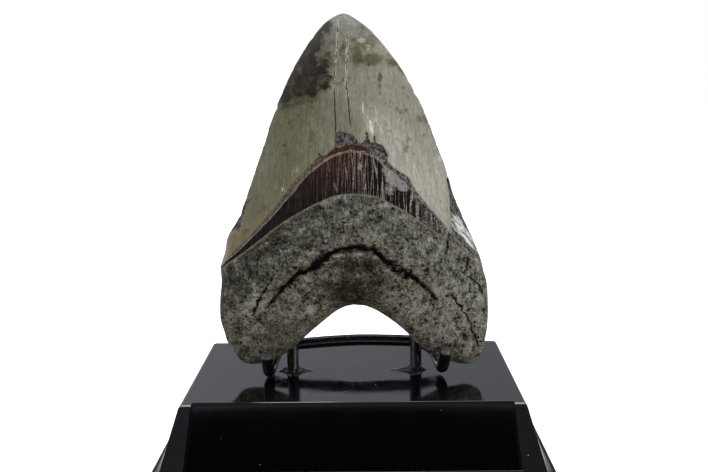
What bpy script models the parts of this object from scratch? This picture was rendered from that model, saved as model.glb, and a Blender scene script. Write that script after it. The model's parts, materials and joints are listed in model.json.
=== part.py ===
"""Megalodon tooth on its wire and block stand, at real size.

Metres, +Z up, the tooth's displayed face looks along -Y. Lengths below are in millimetres.
Places are measured from the middle of the block's top front edge, and place() moves them so
that the origin lies under the middle of the block, on the surface that it stands on.
"""
import math

import bmesh
import bpy
import numpy as np
from mathutils import Matrix, Vector

MM = 0.001
TOUCH_GAP = 0.3

# Block
TOP_HALF_WIDTH = 63.5
TOP_DEPTH = 76.2
BLOCK_HEIGHT = 25.0
EDGE_ROUND = 1.2
FRONT_ROUND_SHARE = 0.4
SIDE_LEAN = 0.2
COVE_WIDTH = 4.9
COVE_HEIGHT = 22.0
COVE_END = 20.5
LIP_STEP = 1.2
LIP_BEVEL = 0.8
FRONT_TILT = math.radians(48.0)
FRONT_EDGE_FLARE = 0.232
FRONT_CORNER_IN = 0.1
FRONT_CHAMFER = 0.6
FRONT_CHAMFER_GROWTH = 0.42
BACK_CORNER_RADIUS = 1.0
BACK_CORNER_GROWTH = 0.25

# Name plate and its recess, along the sloping front
RECESS_HALF_WIDTH = 59.0
RECESS_START = -3.0
RECESS_END = 25.8
RECESS_DEPTH = 1.5
PLATE_HALF_WIDTH = 58.4
PLATE_START = 0.6
PLATE_END = 25.4
PLATE_THICK = 1.1
PLATE_BEVEL = 0.35

# Steel rod
ROD_RADIUS = 2.35
ROD_POINT_STEP = 2.4
SOCKET_CLEARANCE = 0.4
SOCKET_DEPTH = 8.0
FOOT_DEPTH = 7.5
POST_LEAN = math.radians(18.5)
POST_Y = 36.7
LEFT_POST_X = -24.6
RIGHT_POST_X = 25.3

# Tooth: plane of the cutting edges, as a point on it and how far it leans back
TOOTH_FOOT = Vector((0.0, 31.0, 4.7))
TOOTH_LEAN = math.radians(16.0)

BLOCK_BACK = TOP_DEPTH + SIDE_LEAN * COVE_END + LIP_STEP + COVE_WIDTH * (
    1.0 - math.sqrt(1.0 - (COVE_END / COVE_HEIGHT) ** 2))
BLOCK_FRONT = -COVE_END * math.tan(FRONT_TILT) - LIP_STEP
ORIGIN_SHIFT = Vector((0.0, -(BLOCK_BACK + BLOCK_FRONT) / 2.0, BLOCK_HEIGHT))

# The tooth's outline seen square on: across, then up from the level of the lobes' feet
LEFT_EDGE = [(-3.0, 142.9), (-5.7, 142.0), (-9.8, 139.4), (-14.5, 134.3), (-18.0, 129.2),
             (-22.6, 121.6), (-27.4, 111.7), (-32.4, 99.2), (-36.3, 86.8), (-40.5, 74.5),
             (-43.5, 65.4), (-46.8, 57.4), (-50.2, 51.6), (-51.6, 44.8), (-52.9, 40.0),
             (-53.0, 37.4), (-52.6, 32.6), (-53.2, 26.4), (-53.1, 18.8), (-51.4, 13.0),
             (-50.2, 9.2), (-47.3, 5.1), (-44.3, 1.5), (-40.4, 0.2)]
RIGHT_EDGE = [(-3.0, 142.9), (0.2, 141.9), (7.4, 136.6), (12.2, 131.4), (16.1, 126.3),
              (21.5, 118.6), (25.5, 111.0), (29.3, 103.3), (32.2, 96.0), (34.8, 88.5),
              (37.5, 81.0), (39.2, 75.8), (41.0, 68.6), (43.8, 61.2), (46.8, 53.9),
              (49.1, 48.8), (51.2, 43.4), (52.2, 39.2), (52.6, 36.8), (53.9, 31.6),
              (54.2, 25.6), (54.0, 17.5), (52.9, 10.2), (50.6, 3.0), (47.4, 0.2), (43.6, -0.4)]
LEFT_ARCH = [(0.4, 23.5), (-1.9, 23.2), (-6.9, 20.8), (-13.2, 15.9), (-19.2, 10.8),
             (-24.6, 6.0), (-30.4, 2.5), (-35.4, 0.8), (-40.4, 0.2)]
RIGHT_ARCH = [(0.4, 23.5), (3.4, 23.4), (8.2, 21.8), (14.5, 18.0), (20.8, 13.0),
              (25.2, 8.2), (30.0, 4.6), (36.4, 1.6), (43.6, -0.4)]

# Lines that cross the tooth's front: the two halves of each run in to its crest
ENAMEL_LEFT = [(-52.9, 40.0), (-45.2, 45.4), (-38.8, 50.8), (-31.3, 59.2), (-24.6, 66.6),
               (-19.6, 72.6), (-12.6, 78.6), (-6.4, 83.8), (-1.4, 86.6)]
ENAMEL_RIGHT = [(52.2, 39.2), (46.4, 43.6), (39.3, 50.2), (34.4, 55.4), (29.7, 61.0),
                (24.4, 68.4), (19.2, 74.0), (12.4, 78.6), (5.2, 83.6), (-1.4, 86.6)]
SHELF_LEFT = [(-53.0, 37.4), (-46.6, 41.4), (-38.5, 46.9), (-28.4, 54.4), (-19.8, 59.4),
              (-10.7, 63.7), (-4.8, 65.6), (0.6, 66.2)]
SHELF_RIGHT = [(52.6, 36.8), (46.2, 42.0), (39.1, 47.6), (28.7, 54.0), (21.3, 59.0),
               (14.7, 62.6), (8.5, 65.2), (0.6, 66.2)]
GROOVE_LEFT = [(-53.1, 18.8), (-42.0, 20.0), (-29.6, 26.4), (-23.4, 32.2), (-16.4, 36.8),
               (-10.8, 41.2), (-5.0, 44.4), (1.4, 45.4)]
GROOVE_RIGHT = [(54.2, 25.6), (43.0, 24.4), (31.0, 28.8), (24.4, 33.2), (18.7, 35.8),
                (13.2, 40.0), (7.6, 44.2), (1.4, 45.4)]
NECK_LEFT = [(-47.3, 5.1), (-37.0, 10.4), (-27.0, 14.8), (-15.0, 19.2), (-6.0, 22.2), (0.4, 23.5)]
NECK_RIGHT = [(52.9, 10.2), (41.0, 13.0), (29.0, 16.6), (16.0, 20.4), (7.0, 22.8), (0.4, 23.5)]

# Thickness at the middle, front and back, against height
FRONT_PROFILE = [(-2.0, 6.4), (8.0, 7.8), (18.0, 10.8), (28.0, 14.4), (40.0, 17.2), (52.0, 17.4),
                 (62.0, 16.0), (74.0, 14.4), (90.0, 12.8), (106.0, 10.8), (122.0, 7.8),
                 (134.0, 4.9), (140.0, 2.8), (142.9, 1.0)]
BACK_PROFILE = [(-2.0, 5.2), (10.0, 5.4), (30.0, 5.5), (50.0, 5.6), (70.0, 5.4), (90.0, 5.0),
                (110.0, 4.2), (128.0, 3.0), (140.0, 1.6), (142.9, 0.7)]
ROOT_ROUND = 6.5
CROWN_ROUND = 1.2
CROWN_EDGE_FROM = 62.0
ROOT_EDGE_FROM = 30.0
ROOT_SIDE_FALL = 0.48
TIP_BEND = 2.4
ENAMEL_STEP = 0.5
SHELF_STEP = 1.1
GROOVE_DEPTH = 1.7
GROOVE_HALF_LENGTH = 24.0
LUMP = 0.28

# Mesh fineness: columns across half of the front and back, and rows in each band of the front
FRONT_COLUMNS = 18
BACK_COLUMNS = 11
CROWN_ROWS = 21
BOURLETTE_ROWS = [0.0, 0.1, 0.5, 0.86, 1.0]
UPPER_ROOT_ROWS = [0.0, 0.1, 0.3, 0.52, 0.74, 0.9, 0.96, 1.0]
LOWER_ROOT_ROWS = [0.0, 0.05, 0.12, 0.3, 0.5, 0.68, 0.82, 0.92, 1.0]
LOBE_ROWS = [0.0, 0.1, 0.22, 0.36, 0.5, 0.64, 0.77, 0.88, 0.96, 1.0]


def place(x, y, z):
    """World place, in metres, of a point measured from the block's top front edge."""
    return (Vector((x, y, z)) + ORIGIN_SHIFT) * MM


def make_material(name, colour, roughness, metallic=0.0):
    material = bpy.data.materials.new(name)
    material.use_nodes = True
    shader = material.node_tree.nodes["Principled BSDF"]
    shader.inputs["Base Color"].default_value = (*colour, 1.0)
    shader.inputs["Roughness"].default_value = roughness
    shader.inputs["Metallic"].default_value = metallic
    material.diffuse_color = (*colour, 1.0)
    return material


def add_object(name, data, material=None):
    item = bpy.data.objects.new(name, data)
    bpy.context.collection.objects.link(item)
    if material:
        data.materials.append(material)
    return item


def mesh_from(name, points, faces):
    mesh = bpy.data.meshes.new(name)
    mesh.from_pydata(points, [], faces)
    mesh.validate()
    return mesh


def smooth_line(points, per_span=20):
    """Dense Catmull-Rom line through the points."""
    p = np.array(points, dtype=float)
    ends = np.vstack([2 * p[0] - p[1], p, 2 * p[-1] - p[-2]])
    t = np.linspace(0.0, 1.0, per_span, endpoint=False)[:, None]
    spans = []
    for i in range(len(p) - 1):
        a, b, c, d = ends[i:i + 4]
        spans.append(0.5 * (2 * b + (c - a) * t + (2 * a - 5 * b + 4 * c - d) * t ** 2
                            + (3 * b - a - 3 * c + d) * t ** 3))
    return np.vstack(spans + [p[-1:]])


def along(line, fractions):
    """Points of a dense line at fractions of its length."""
    steps = np.linalg.norm(np.diff(line, axis=0), axis=1)
    length = np.concatenate([[0.0], np.cumsum(steps)])
    at = np.asarray(fractions) * length[-1]
    return np.stack([np.interp(at, length, line[:, k]) for k in range(line.shape[1])], axis=-1)


def part_of_edge(edge, start, end):
    """The stretch of a smooth edge between two of its own points."""
    first, last = edge.index(start), edge.index(end)
    per_span = 20
    return smooth_line(edge, per_span)[first * per_span:last * per_span + 1]


def smoothstep(value, low, high):
    t = np.clip((value - low) / (high - low), 0.0, 1.0)
    return t * t * (3.0 - 2.0 * t)


class ToothShape:
    """The tooth as rows of points in the plane of its edges, each with a front and back height."""

    def __init__(self):
        self.left = smooth_line(LEFT_EDGE)
        self.right = smooth_line(RIGHT_EDGE)
        outline = [self.left, smooth_line(LEFT_ARCH)[::-1], smooth_line(RIGHT_ARCH), self.right[::-1]]
        self.outline = np.vstack(outline)
        self.front_line = smooth_line(FRONT_PROFILE)
        self.back_line = smooth_line(BACK_PROFILE)

    def edge_distance(self, points):
        """Distance from each point to the outline."""
        start, end = self.outline[:-1], self.outline[1:]
        run = end - start
        square = np.maximum((run ** 2).sum(axis=1), 1e-9)
        nearest = np.empty(len(points))
        for first in range(0, len(points), 2000):
            block = points[first:first + 2000, None, :] - start[None]
            t = np.clip((block * run).sum(axis=2) / square, 0.0, 1.0)
            gap = block - t[..., None] * run
            nearest[first:first + 2000] = np.sqrt((gap ** 2).sum(axis=2).min(axis=1))
        return nearest

    def side_fraction(self, points):
        """0 on the tooth's middle line, 1 on its side edges."""
        level = points[:, 1]
        left = np.interp(level, self.left[::-1, 1], self.left[::-1, 0])
        right = np.interp(level, self.right[::-1, 1], self.right[::-1, 0])
        half = np.maximum((right - left) / 2.0, 0.5)
        return np.clip(np.abs(points[:, 0] - (left + right) / 2.0) / half, 0.0, 1.0)

    def envelope(self, points, line):
        """Height of one face over the plane of the edges, before its relief."""
        level = points[:, 1]
        crown = smoothstep(level, ROOT_EDGE_FROM, CROWN_EDGE_FROM)
        side = self.side_fraction(points)
        fall = ROOT_SIDE_FALL + (1.0 - ROOT_SIDE_FALL) * crown
        height = np.interp(level, line[:, 0], line[:, 1]) * (1.0 - fall * side ** 2.2)
        reach = ROOT_ROUND + (CROWN_ROUND - ROOT_ROUND) * crown
        inward = 1.0 - np.clip(self.edge_distance(points) / reach, 0.0, 1.0)
        return height * np.sqrt(1.0 - inward ** 2)

    def front(self, points, band):
        height = self.envelope(points, self.front_line)
        inner = smoothstep(self.edge_distance(points), 0.0, 5.0)
        enamel = 1.0 - smoothstep(band, 1.0, 1.08)
        root = smoothstep(band, 1.86, 2.0)
        shelf = root * (1.0 - smoothstep(band, 2.3, 3.0))
        across = np.abs(points[:, 0] - 1.4)
        reach = 1.0 - smoothstep(across, GROOVE_HALF_LENGTH, GROOVE_HALF_LENGTH + 6.0)
        groove = np.exp(-((band - 3.0) / 0.045) ** 2) * reach
        relief = ENAMEL_STEP * enamel + SHELF_STEP * shelf - GROOVE_DEPTH * groove
        return height + inner * (relief + root * self.lumps(points))

    def back(self, points):
        root = 1.0 - smoothstep(points[:, 1], 34.0, 56.0)
        inner = smoothstep(self.edge_distance(points), 0.0, 5.0)
        return -(self.envelope(points, self.back_line) + inner * root * 0.6 * self.lumps(points))

    @staticmethod
    def lumps(points):
        u, v = points[:, 0], points[:, 1]
        broad = np.sin(0.31 * u + 1.3) * np.sin(0.27 * v + 0.4)
        fine = np.sin(0.74 * u - 0.22 * v) * np.sin(0.55 * v + 2.1)
        return LUMP * (broad + 0.7 * fine)

    @staticmethod
    def to_world(points, height):
        bend = TIP_BEND * smoothstep(points[:, 1], 70.0, 150.0)
        out = height + bend
        up = np.array([0.0, math.sin(TOOTH_LEAN), math.cos(TOOTH_LEAN)])
        face = np.array([0.0, -math.cos(TOOTH_LEAN), math.sin(TOOTH_LEAN)])
        across = np.array([1.0, 0.0, 0.0])
        local = points[:, :1] * across + points[:, 1:] * up + out[:, None] * face
        return (local + np.array(TOOTH_FOOT + ORIGIN_SHIFT)) * MM


def column_spread(count):
    """Fractions from a side edge to the middle, closer together at the edge."""
    t = np.linspace(0.0, 1.0, count + 1)
    return 0.3 * t + 0.7 * t ** 2


def band_rows(top, bottom, left, right, rows, columns):
    """Rows of one band between four curves: top and bottom are pairs of half lines."""
    spread = column_spread(columns)
    result = []
    for t in rows:
        halves = []
        for side, edge in ((0, left), (1, right)):
            high = along(top[side], spread)
            low = along(bottom[side], spread)
            row = (1.0 - t) * high + t * low
            row += (1.0 - spread)[:, None] * (along(edge, [t])[0] - row[0])
            halves.append(row)
        result.append(np.vstack([halves[0], halves[1][-2::-1]]))
    return result


def lobe_rows(top, edge, arch, rows, columns):
    """Rows of one lobe, from the line over the arch down to the lobe's foot."""
    spread = column_spread(columns)
    t_even = np.linspace(0.0, 1.0, columns + 1)
    both = t_even - 0.7 * np.sin(2.0 * math.pi * t_even) / (2.0 * math.pi)
    result = []
    for t in rows:
        at = (1.0 - t) * spread + t * both
        line = (1.0 - t) * along(top, at) + t * edge[-1]
        start = along(edge, [t])[0] - ((1.0 - t) * top[0] + t * edge[-1])
        end = along(arch, [t])[0] - ((1.0 - t) * top[-1] + t * edge[-1])
        result.append(line + (1.0 - at)[:, None] * start + at[:, None] * end)
    return result


def tooth_grid(columns):
    """All rows of one face: the body's rows, then each lobe's rows, with their band numbers."""
    tip = np.repeat([LEFT_EDGE[0]], 2, axis=0)
    lines = [(tip, tip)]
    for left, right in ((ENAMEL_LEFT, ENAMEL_RIGHT), (SHELF_LEFT, SHELF_RIGHT),
                        (GROOVE_LEFT, GROOVE_RIGHT), (NECK_LEFT, NECK_RIGHT)):
        lines.append((smooth_line(left), smooth_line(right)))
    left_ends = [LEFT_EDGE[0], ENAMEL_LEFT[0], SHELF_LEFT[0], GROOVE_LEFT[0], NECK_LEFT[0]]
    right_ends = [RIGHT_EDGE[0], ENAMEL_RIGHT[0], SHELF_RIGHT[0], GROOVE_RIGHT[0], NECK_RIGHT[0]]
    crown = np.linspace(0.0, 1.0, CROWN_ROWS + 1) ** 1.15
    steps = [crown, BOURLETTE_ROWS, UPPER_ROOT_ROWS, LOWER_ROOT_ROWS]
    rows, bands = [], []
    for k, fractions in enumerate(steps):
        left = part_of_edge(LEFT_EDGE, left_ends[k], left_ends[k + 1])
        right = part_of_edge(RIGHT_EDGE, right_ends[k], right_ends[k + 1])
        for t, row in zip(fractions, band_rows(lines[k], lines[k + 1], left, right, fractions, columns)):
            if t > 0.0 or k == 0:
                rows.append(row)
                bands.append(k + t)
    lobes = []
    for side, edge, start, arch in ((0, LEFT_EDGE, NECK_LEFT[0], LEFT_ARCH),
                                    (1, RIGHT_EDGE, NECK_RIGHT[0], RIGHT_ARCH)):
        outer = part_of_edge(edge, start, edge[-1])
        lobes.append(lobe_rows(lines[-1][side], outer, smooth_line(arch), LOBE_ROWS, columns)[1:])
    return rows, bands, lobes


def face_points(shape, columns, is_front):
    """World points of one face: (body rows), (left lobe rows), (right lobe rows)."""
    rows, bands, lobes = tooth_grid(columns)
    groups = []
    for group, numbers in ((rows, bands), (lobes[0], LOBE_ROWS[1:]), (lobes[1], LOBE_ROWS[1:])):
        flat = np.vstack(group)
        band = np.repeat(np.asarray(numbers) + (0.0 if group is rows else 4.0), len(group[0]))
        height = shape.front(flat, band) if is_front else shape.back(flat)
        rim = shape.edge_distance(flat) < 0.02
        height = np.where(rim, 0.0, height)
        groups.append(shape.to_world(flat, height).reshape(len(group), -1, 3))
    return groups


def add_face_sheet(points, faces, groups, is_front):
    """Quads of one face, from its rows of points."""
    body, left, right = groups
    middle = body.shape[1] // 2
    starts = []
    for group in groups:
        starts.append(len(points))
        points.extend(group.reshape(-1, 3).tolist())

    def sheet(upper, lower):
        for i in range(len(upper) - 1):
            quad = [upper[i], lower[i], lower[i + 1], upper[i + 1]]
            faces.append(quad if is_front else quad[::-1])

    body_rows = [[starts[0] + r * body.shape[1] + c for c in range(body.shape[1])] for r in range(len(body))]
    left_rows = [[starts[1] + r * left.shape[1] + c for c in range(left.shape[1])] for r in range(len(left))]
    right_rows = [[starts[2] + r * right.shape[1] + c for c in range(right.shape[1])][::-1]
                  for r in range(len(right))]
    for upper, lower in zip(body_rows, body_rows[1:]):
        sheet(upper, lower)
    for upper, lower in zip([body_rows[-1][:middle + 1]] + left_rows, left_rows):
        sheet(upper, lower)
    for upper, lower in zip([body_rows[-1][middle:]] + right_rows, right_rows):
        sheet(upper, lower)


def make_tooth(material):
    """The fossil in one piece: crown, bourlette, root and its two lobes."""
    shape = ToothShape()
    points, faces = [], []
    add_face_sheet(points, faces, face_points(shape, FRONT_COLUMNS, True), True)
    add_face_sheet(points, faces, face_points(shape, BACK_COLUMNS, False), False)
    mesh = mesh_from("tooth", points, faces)
    bm = bmesh.new()
    bm.from_mesh(mesh)
    bmesh.ops.remove_doubles(bm, verts=bm.verts, dist=0.00002)
    bmesh.ops.recalc_face_normals(bm, faces=bm.faces)
    bmesh.ops.triangulate(bm, faces=bm.faces)
    bm.to_mesh(mesh)
    bm.free()
    mesh.shade_smooth()
    mesh.set_sharp_from_angle(angle=math.radians(50.0))
    return add_object("tooth", mesh, material)


def block_section(drop):
    """Outline of the block at a drop below its top, counter-clockwise seen from above."""
    cove = min(drop, COVE_END)
    flare = SIDE_LEAN * cove + COVE_WIDTH * (1.0 - math.sqrt(1.0 - (cove / COVE_HEIGHT) ** 2))
    lip = LIP_STEP if drop > COVE_END else 0.0
    half = TOP_HALF_WIDTH + flare + lip
    front = -cove * math.tan(FRONT_TILT) - lip
    back = TOP_DEPTH + flare + lip
    flat_half = TOP_HALF_WIDTH - FRONT_CORNER_IN + FRONT_EDGE_FLARE * cove + lip
    chamfer = FRONT_CHAMFER + FRONT_CHAMFER_GROWTH * cove
    radius = BACK_CORNER_RADIUS + BACK_CORNER_GROWTH * cove
    right = [(flat_half, front), (half, front + chamfer)]
    steps = 4
    for k in range(steps + 1):
        angle = math.pi / 2.0 * k / steps
        right.append((half - radius + radius * math.cos(angle), back - radius + radius * math.sin(angle)))
    return right + [(-x, y) for x, y in right[::-1]]


def make_block(material):
    """Moulded block: flat top, coved sides and back, sloping front."""
    levels = [(0.0, EDGE_ROUND), (EDGE_ROUND * 0.3, EDGE_ROUND * 0.3), (EDGE_ROUND, 0.0)]
    levels += [(drop, 0.0) for drop in (3.5, 7.0, 10.0, 12.5, 14.5, 16.5, 18.0, 19.3, COVE_END)]
    levels += [(COVE_END + 0.01, 0.0), (BLOCK_HEIGHT - LIP_BEVEL, 0.0), (BLOCK_HEIGHT, LIP_BEVEL)]
    middle_y = TOP_DEPTH / 2.0
    points, faces = [], []
    for drop, inset in levels:
        for x, y in block_section(drop):
            front_inset = inset * FRONT_ROUND_SHARE if drop < COVE_END else inset
            side_x = x - math.copysign(inset, x)
            side_y = y + front_inset if y < middle_y else y - inset
            points.append(place(side_x, side_y, -drop))
    count = len(block_section(0.0))
    for level in range(len(levels) - 1):
        for k in range(count):
            a, b = level * count + k, level * count + (k + 1) % count
            faces.append([a, a + count, b + count, b])
    faces.append(list(range(count)))
    faces.append([(len(levels) - 1) * count + k for k in range(count)][::-1])
    block = add_object("base", mesh_from("base", points, faces), material)
    cutters = [make_recess_cutter()]
    for x in (LEFT_POST_X, RIGHT_POST_X):
        cutters.append(make_socket_cutter(x))
    for cutter in cutters:
        cut = block.modifiers.new(cutter.name, "BOOLEAN")
        cut.operation = "DIFFERENCE"
        cut.solver = "EXACT"
        cut.object = cutter
    return block


def slope_matrix():
    """Frame on the sloping front: X across, Y down the slope, Z outwards, in metres."""
    down = Vector((0.0, -math.sin(FRONT_TILT), -math.cos(FRONT_TILT)))
    out = Vector((0.0, -math.cos(FRONT_TILT), math.sin(FRONT_TILT)))
    across = down.cross(out)
    turn = Matrix((across, down, out)).transposed().to_4x4()
    return Matrix.Translation(place(0.0, 0.0, 0.0)) @ turn


def slope_box(name, half_width, start, end, low, high):
    """A box on the sloping front, given in its own frame."""
    bm = bmesh.new()
    bmesh.ops.create_cube(bm, size=1.0)
    size = Vector((2.0 * half_width, end - start, high - low)) * MM
    centre = Vector((0.0, (start + end) / 2.0, (low + high) / 2.0)) * MM
    bmesh.ops.scale(bm, vec=size, verts=bm.verts)
    bmesh.ops.translate(bm, vec=centre, verts=bm.verts)
    bmesh.ops.transform(bm, matrix=slope_matrix(), verts=bm.verts)
    mesh = bpy.data.meshes.new(name)
    bm.to_mesh(mesh)
    bm.free()
    return mesh


def hide_cutter(cutter):
    cutter.hide_render = True
    cutter.display_type = "WIRE"
    return cutter


def make_recess_cutter():
    mesh = slope_box("recess cut", RECESS_HALF_WIDTH, RECESS_START, RECESS_END, -RECESS_DEPTH, 4.0)
    return hide_cutter(add_object("recess_cut", mesh))


def make_socket_cutter(x):
    """Leaning hole for one post's foot."""
    above = 3.0
    bm = bmesh.new()
    bmesh.ops.create_cone(bm, cap_ends=True, segments=16, radius1=(ROD_RADIUS + SOCKET_CLEARANCE) * MM,
                          radius2=(ROD_RADIUS + SOCKET_CLEARANCE) * MM,
                          depth=(SOCKET_DEPTH + above) * MM)
    bmesh.ops.translate(bm, vec=Vector((0.0, 0.0, (above - SOCKET_DEPTH) / 2.0)) * MM, verts=bm.verts)
    mesh = bpy.data.meshes.new("socket cut")
    bm.to_mesh(mesh)
    bm.free()
    cutter = add_object("socket_cut", mesh)
    cutter.matrix_world = Matrix.Translation(place(x, POST_Y, 0.0)) @ Matrix.Rotation(-POST_LEAN, 4, "X")
    return hide_cutter(cutter)


def make_plate(material):
    """Bare name plate in the recess."""
    floor = -RECESS_DEPTH + TOUCH_GAP
    mesh = slope_box("name_plate", PLATE_HALF_WIDTH, PLATE_START, PLATE_END, floor, floor + PLATE_THICK)
    plate = add_object("name_plate", mesh, material)
    edge = plate.modifiers.new("edge", "BEVEL")
    edge.width = PLATE_BEVEL * MM
    edge.segments = 1
    return plate


def make_rod(name, route, material):
    """A bent rod along a smooth route, with a round section and flat ends."""
    line = smooth_line([tuple(point) for point in route])
    length = np.linalg.norm(np.diff(line, axis=0), axis=1).sum()
    count = int(length / ROD_POINT_STEP)
    data = bpy.data.curves.new(name, "CURVE")
    data.dimensions = "3D"
    data.bevel_depth = ROD_RADIUS * MM
    data.bevel_resolution = 4
    data.use_fill_caps = True
    spline = data.splines.new("POLY")
    spline.points.add(count)
    for point, at in zip(spline.points, along(line, np.linspace(0.0, 1.0, count + 1))):
        point.co = (*place(*at), 1.0)
    return add_object(name, data, material)


def make_cradle(material):
    """Cross bar whose two ends bend forward and up in front of the root's lobes."""
    route = [(-33.2, 22.2, 11.0), (-33.2, 23.2, 9.0), (-33.2, 24.8, 6.2), (-33.2, 27.0, 3.7),
             (-33.1, 29.9, 2.65), (-32.8, 34.0, 3.0), (-32.2, 38.0, 4.5), (-30.8, 42.0, 6.9),
             (-27.4, 44.6, 8.3), (-22.2, 45.0, 8.8), (-10.0, 45.2, 9.7), (1.5, 45.3, 10.2),
             (12.0, 45.2, 10.1), (23.0, 45.0, 9.7), (28.6, 44.6, 8.7), (32.4, 42.0, 6.9),
             (34.0, 38.0, 5.0), (34.6, 34.0, 3.8), (34.9, 30.4, 3.7), (35.2, 27.3, 4.7),
             (35.5, 25.0, 7.3), (35.8, 23.4, 10.3), (36.0, 22.4, 12.3)]
    return make_rod("cradle_bar", route, material)


def make_back_support(material):
    """Rod loop that stands in the block and holds the tooth's back."""
    rise = math.tan(POST_LEAN)
    foot = FOOT_DEPTH * math.cos(POST_LEAN)
    bend_height, top_height, corner = 54.0, 72.5, 9.0
    bend_y = POST_Y + bend_height * rise
    top_y = bend_y + 4.6
    left = [(LEFT_POST_X, POST_Y - foot * rise, -foot), (LEFT_POST_X, POST_Y + 14.0 * rise, 14.0),
            (LEFT_POST_X, POST_Y + 34.0 * rise, 34.0), (LEFT_POST_X, bend_y, bend_height),
            (LEFT_POST_X + 0.4, bend_y + 2.6, top_height - corner),
            (LEFT_POST_X + 3.0, top_y - 0.7, top_height - 3.0)]
    middle = [(LEFT_POST_X + corner, top_y, top_height), (RIGHT_POST_X - corner, top_y, top_height)]
    right = [(LEFT_POST_X + RIGHT_POST_X - x, y, z) for x, y, z in left[::-1]]
    return make_rod("back_support", left + middle + right, material)


def make_glue(name, centre_x, reach_left, reach_right, reach_front, reach_back, material):
    """Low mound of set adhesive around one post's foot."""
    sides, hole = 20, ROD_RADIUS + TOUCH_GAP + 0.25
    rings = [(0.0, 0.15), (0.0, 1.9), (0.16, 1.35), (0.42, 0.95), (0.74, 0.7), (1.0, 0.45), (1.0, 0.15)]
    points, faces = [], []
    for share, rise in rings:
        for k in range(sides):
            angle = 2.0 * math.pi * k / sides
            c, s = math.cos(angle), math.sin(angle)
            across = reach_right if c > 0.0 else reach_left
            along_y = reach_back if s > 0.0 else reach_front
            wave = 1.0 + 0.06 * math.sin(3.0 * angle + centre_x) + 0.04 * math.sin(5.0 * angle)
            outer = wave / math.sqrt((c / across) ** 2 + (s / along_y) ** 2)
            radius = hole + share * (outer - hole)
            y = POST_Y + rise * math.tan(POST_LEAN) * (1.0 - share)
            points.append(place(centre_x + radius * c, y + radius * s, rise + TOUCH_GAP - 0.15))
    for ring in range(len(rings)):
        following = (ring + 1) % len(rings)
        for k in range(sides):
            a, b = ring * sides + k, ring * sides + (k + 1) % sides
            c, d = following * sides + k, following * sides + (k + 1) % sides
            faces.append([a, b, d, c])
    mesh = mesh_from(name, points, faces)
    bm = bmesh.new()
    bm.from_mesh(mesh)
    bmesh.ops.recalc_face_normals(bm, faces=bm.faces)
    bm.to_mesh(mesh)
    bm.free()
    mesh.shade_smooth()
    mesh.set_sharp_from_angle(angle=math.radians(40.0))
    return add_object(name, mesh, material)


def main():
    for old in list(bpy.data.objects):
        bpy.data.objects.remove(old, do_unlink=True)
    fossil = make_material("fossil tooth", (0.16, 0.15, 0.12), 0.55)
    block = make_material("black moulded plastic", (0.01, 0.01, 0.012), 0.12)
    plate = make_material("black plate", (0.004, 0.004, 0.005), 0.3)
    rod = make_material("black painted steel", (0.012, 0.012, 0.012), 0.3)
    glue = make_material("set adhesive", (0.02, 0.02, 0.024), 0.15)
    make_tooth(fossil)
    make_block(block)
    make_plate(plate)
    make_cradle(rod)
    make_back_support(rod)
    make_glue("left_post_glue", LEFT_POST_X, 6.6, 8.6, 3.6, 4.2, glue)
    make_glue("right_post_glue", RIGHT_POST_X, 11.0, 4.4, 3.4, 4.2, glue)


main()
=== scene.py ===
"""Megalodon tooth on its bent rod and block stand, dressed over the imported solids.

Laid out as an add-on and run as a script. The scene is in metres, +Z up, and the tooth's displayed
face looks along -Y. Lengths below are in millimetres, measured as in the part's source from the
middle of the block's top front edge, and place() turns them into the scene's metres.
"""
import json
import math

import bmesh
import bpy
import numpy as np
from mathutils import Matrix, Vector

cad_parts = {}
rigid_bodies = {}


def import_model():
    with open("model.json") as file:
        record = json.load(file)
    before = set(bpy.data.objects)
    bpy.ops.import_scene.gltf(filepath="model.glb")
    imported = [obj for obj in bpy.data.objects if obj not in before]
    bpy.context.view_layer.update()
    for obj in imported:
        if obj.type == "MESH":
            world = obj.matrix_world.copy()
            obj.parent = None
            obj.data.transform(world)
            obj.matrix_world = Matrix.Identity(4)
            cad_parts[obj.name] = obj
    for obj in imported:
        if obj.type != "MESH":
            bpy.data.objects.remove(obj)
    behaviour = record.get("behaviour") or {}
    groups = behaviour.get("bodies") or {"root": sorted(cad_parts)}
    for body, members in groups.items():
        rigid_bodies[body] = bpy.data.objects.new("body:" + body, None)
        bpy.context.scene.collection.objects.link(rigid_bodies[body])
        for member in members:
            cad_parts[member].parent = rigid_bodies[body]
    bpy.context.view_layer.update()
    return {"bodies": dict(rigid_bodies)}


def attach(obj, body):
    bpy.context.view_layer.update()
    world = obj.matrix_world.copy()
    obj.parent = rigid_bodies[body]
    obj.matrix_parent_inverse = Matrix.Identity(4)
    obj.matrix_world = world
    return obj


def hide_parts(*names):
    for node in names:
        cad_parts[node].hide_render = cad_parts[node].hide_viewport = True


bl_info = {
    "name": "Fossil tooth on a display stand",
    "version": (1, 0, 0),
    "blender": (4, 5, 0),
    "location": "3D View > Sidebar > Fossil tooth",
    "description": "Builds a large fossil shark tooth on a bent rod and moulded block stand",
    "category": "Object",
}

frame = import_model()
BODY = next(iter(frame["bodies"]))

MM = 0.001

# Block
TOP_HALF_WIDTH = 63.5
TOP_DEPTH = 76.2
BLOCK_HEIGHT = 25.0
SIDE_LEAN = 0.2
COVE_WIDTH = 4.9
COVE_HEIGHT = 22.0
COVE_END = 20.5
LIP_STEP = 1.2
LIP_BEVEL = 0.8
LIP_ROUND = 0.3
RECESS_ROUND = 0.22
MOUTH_ROUND = 1.0
FRONT_ROUND_SHARE = 0.4
FRONT_TILT = math.radians(48.0)
FRONT_EDGE_FLARE = 0.232
FRONT_CORNER_IN = 0.1
FRONT_CHAMFER = 0.6
FRONT_CHAMFER_GROWTH = 0.42
FRONT_CORNER_ROUND = 0.28
BACK_CORNER_RADIUS = 1.0
BACK_CORNER_GROWTH = 0.25

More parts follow.
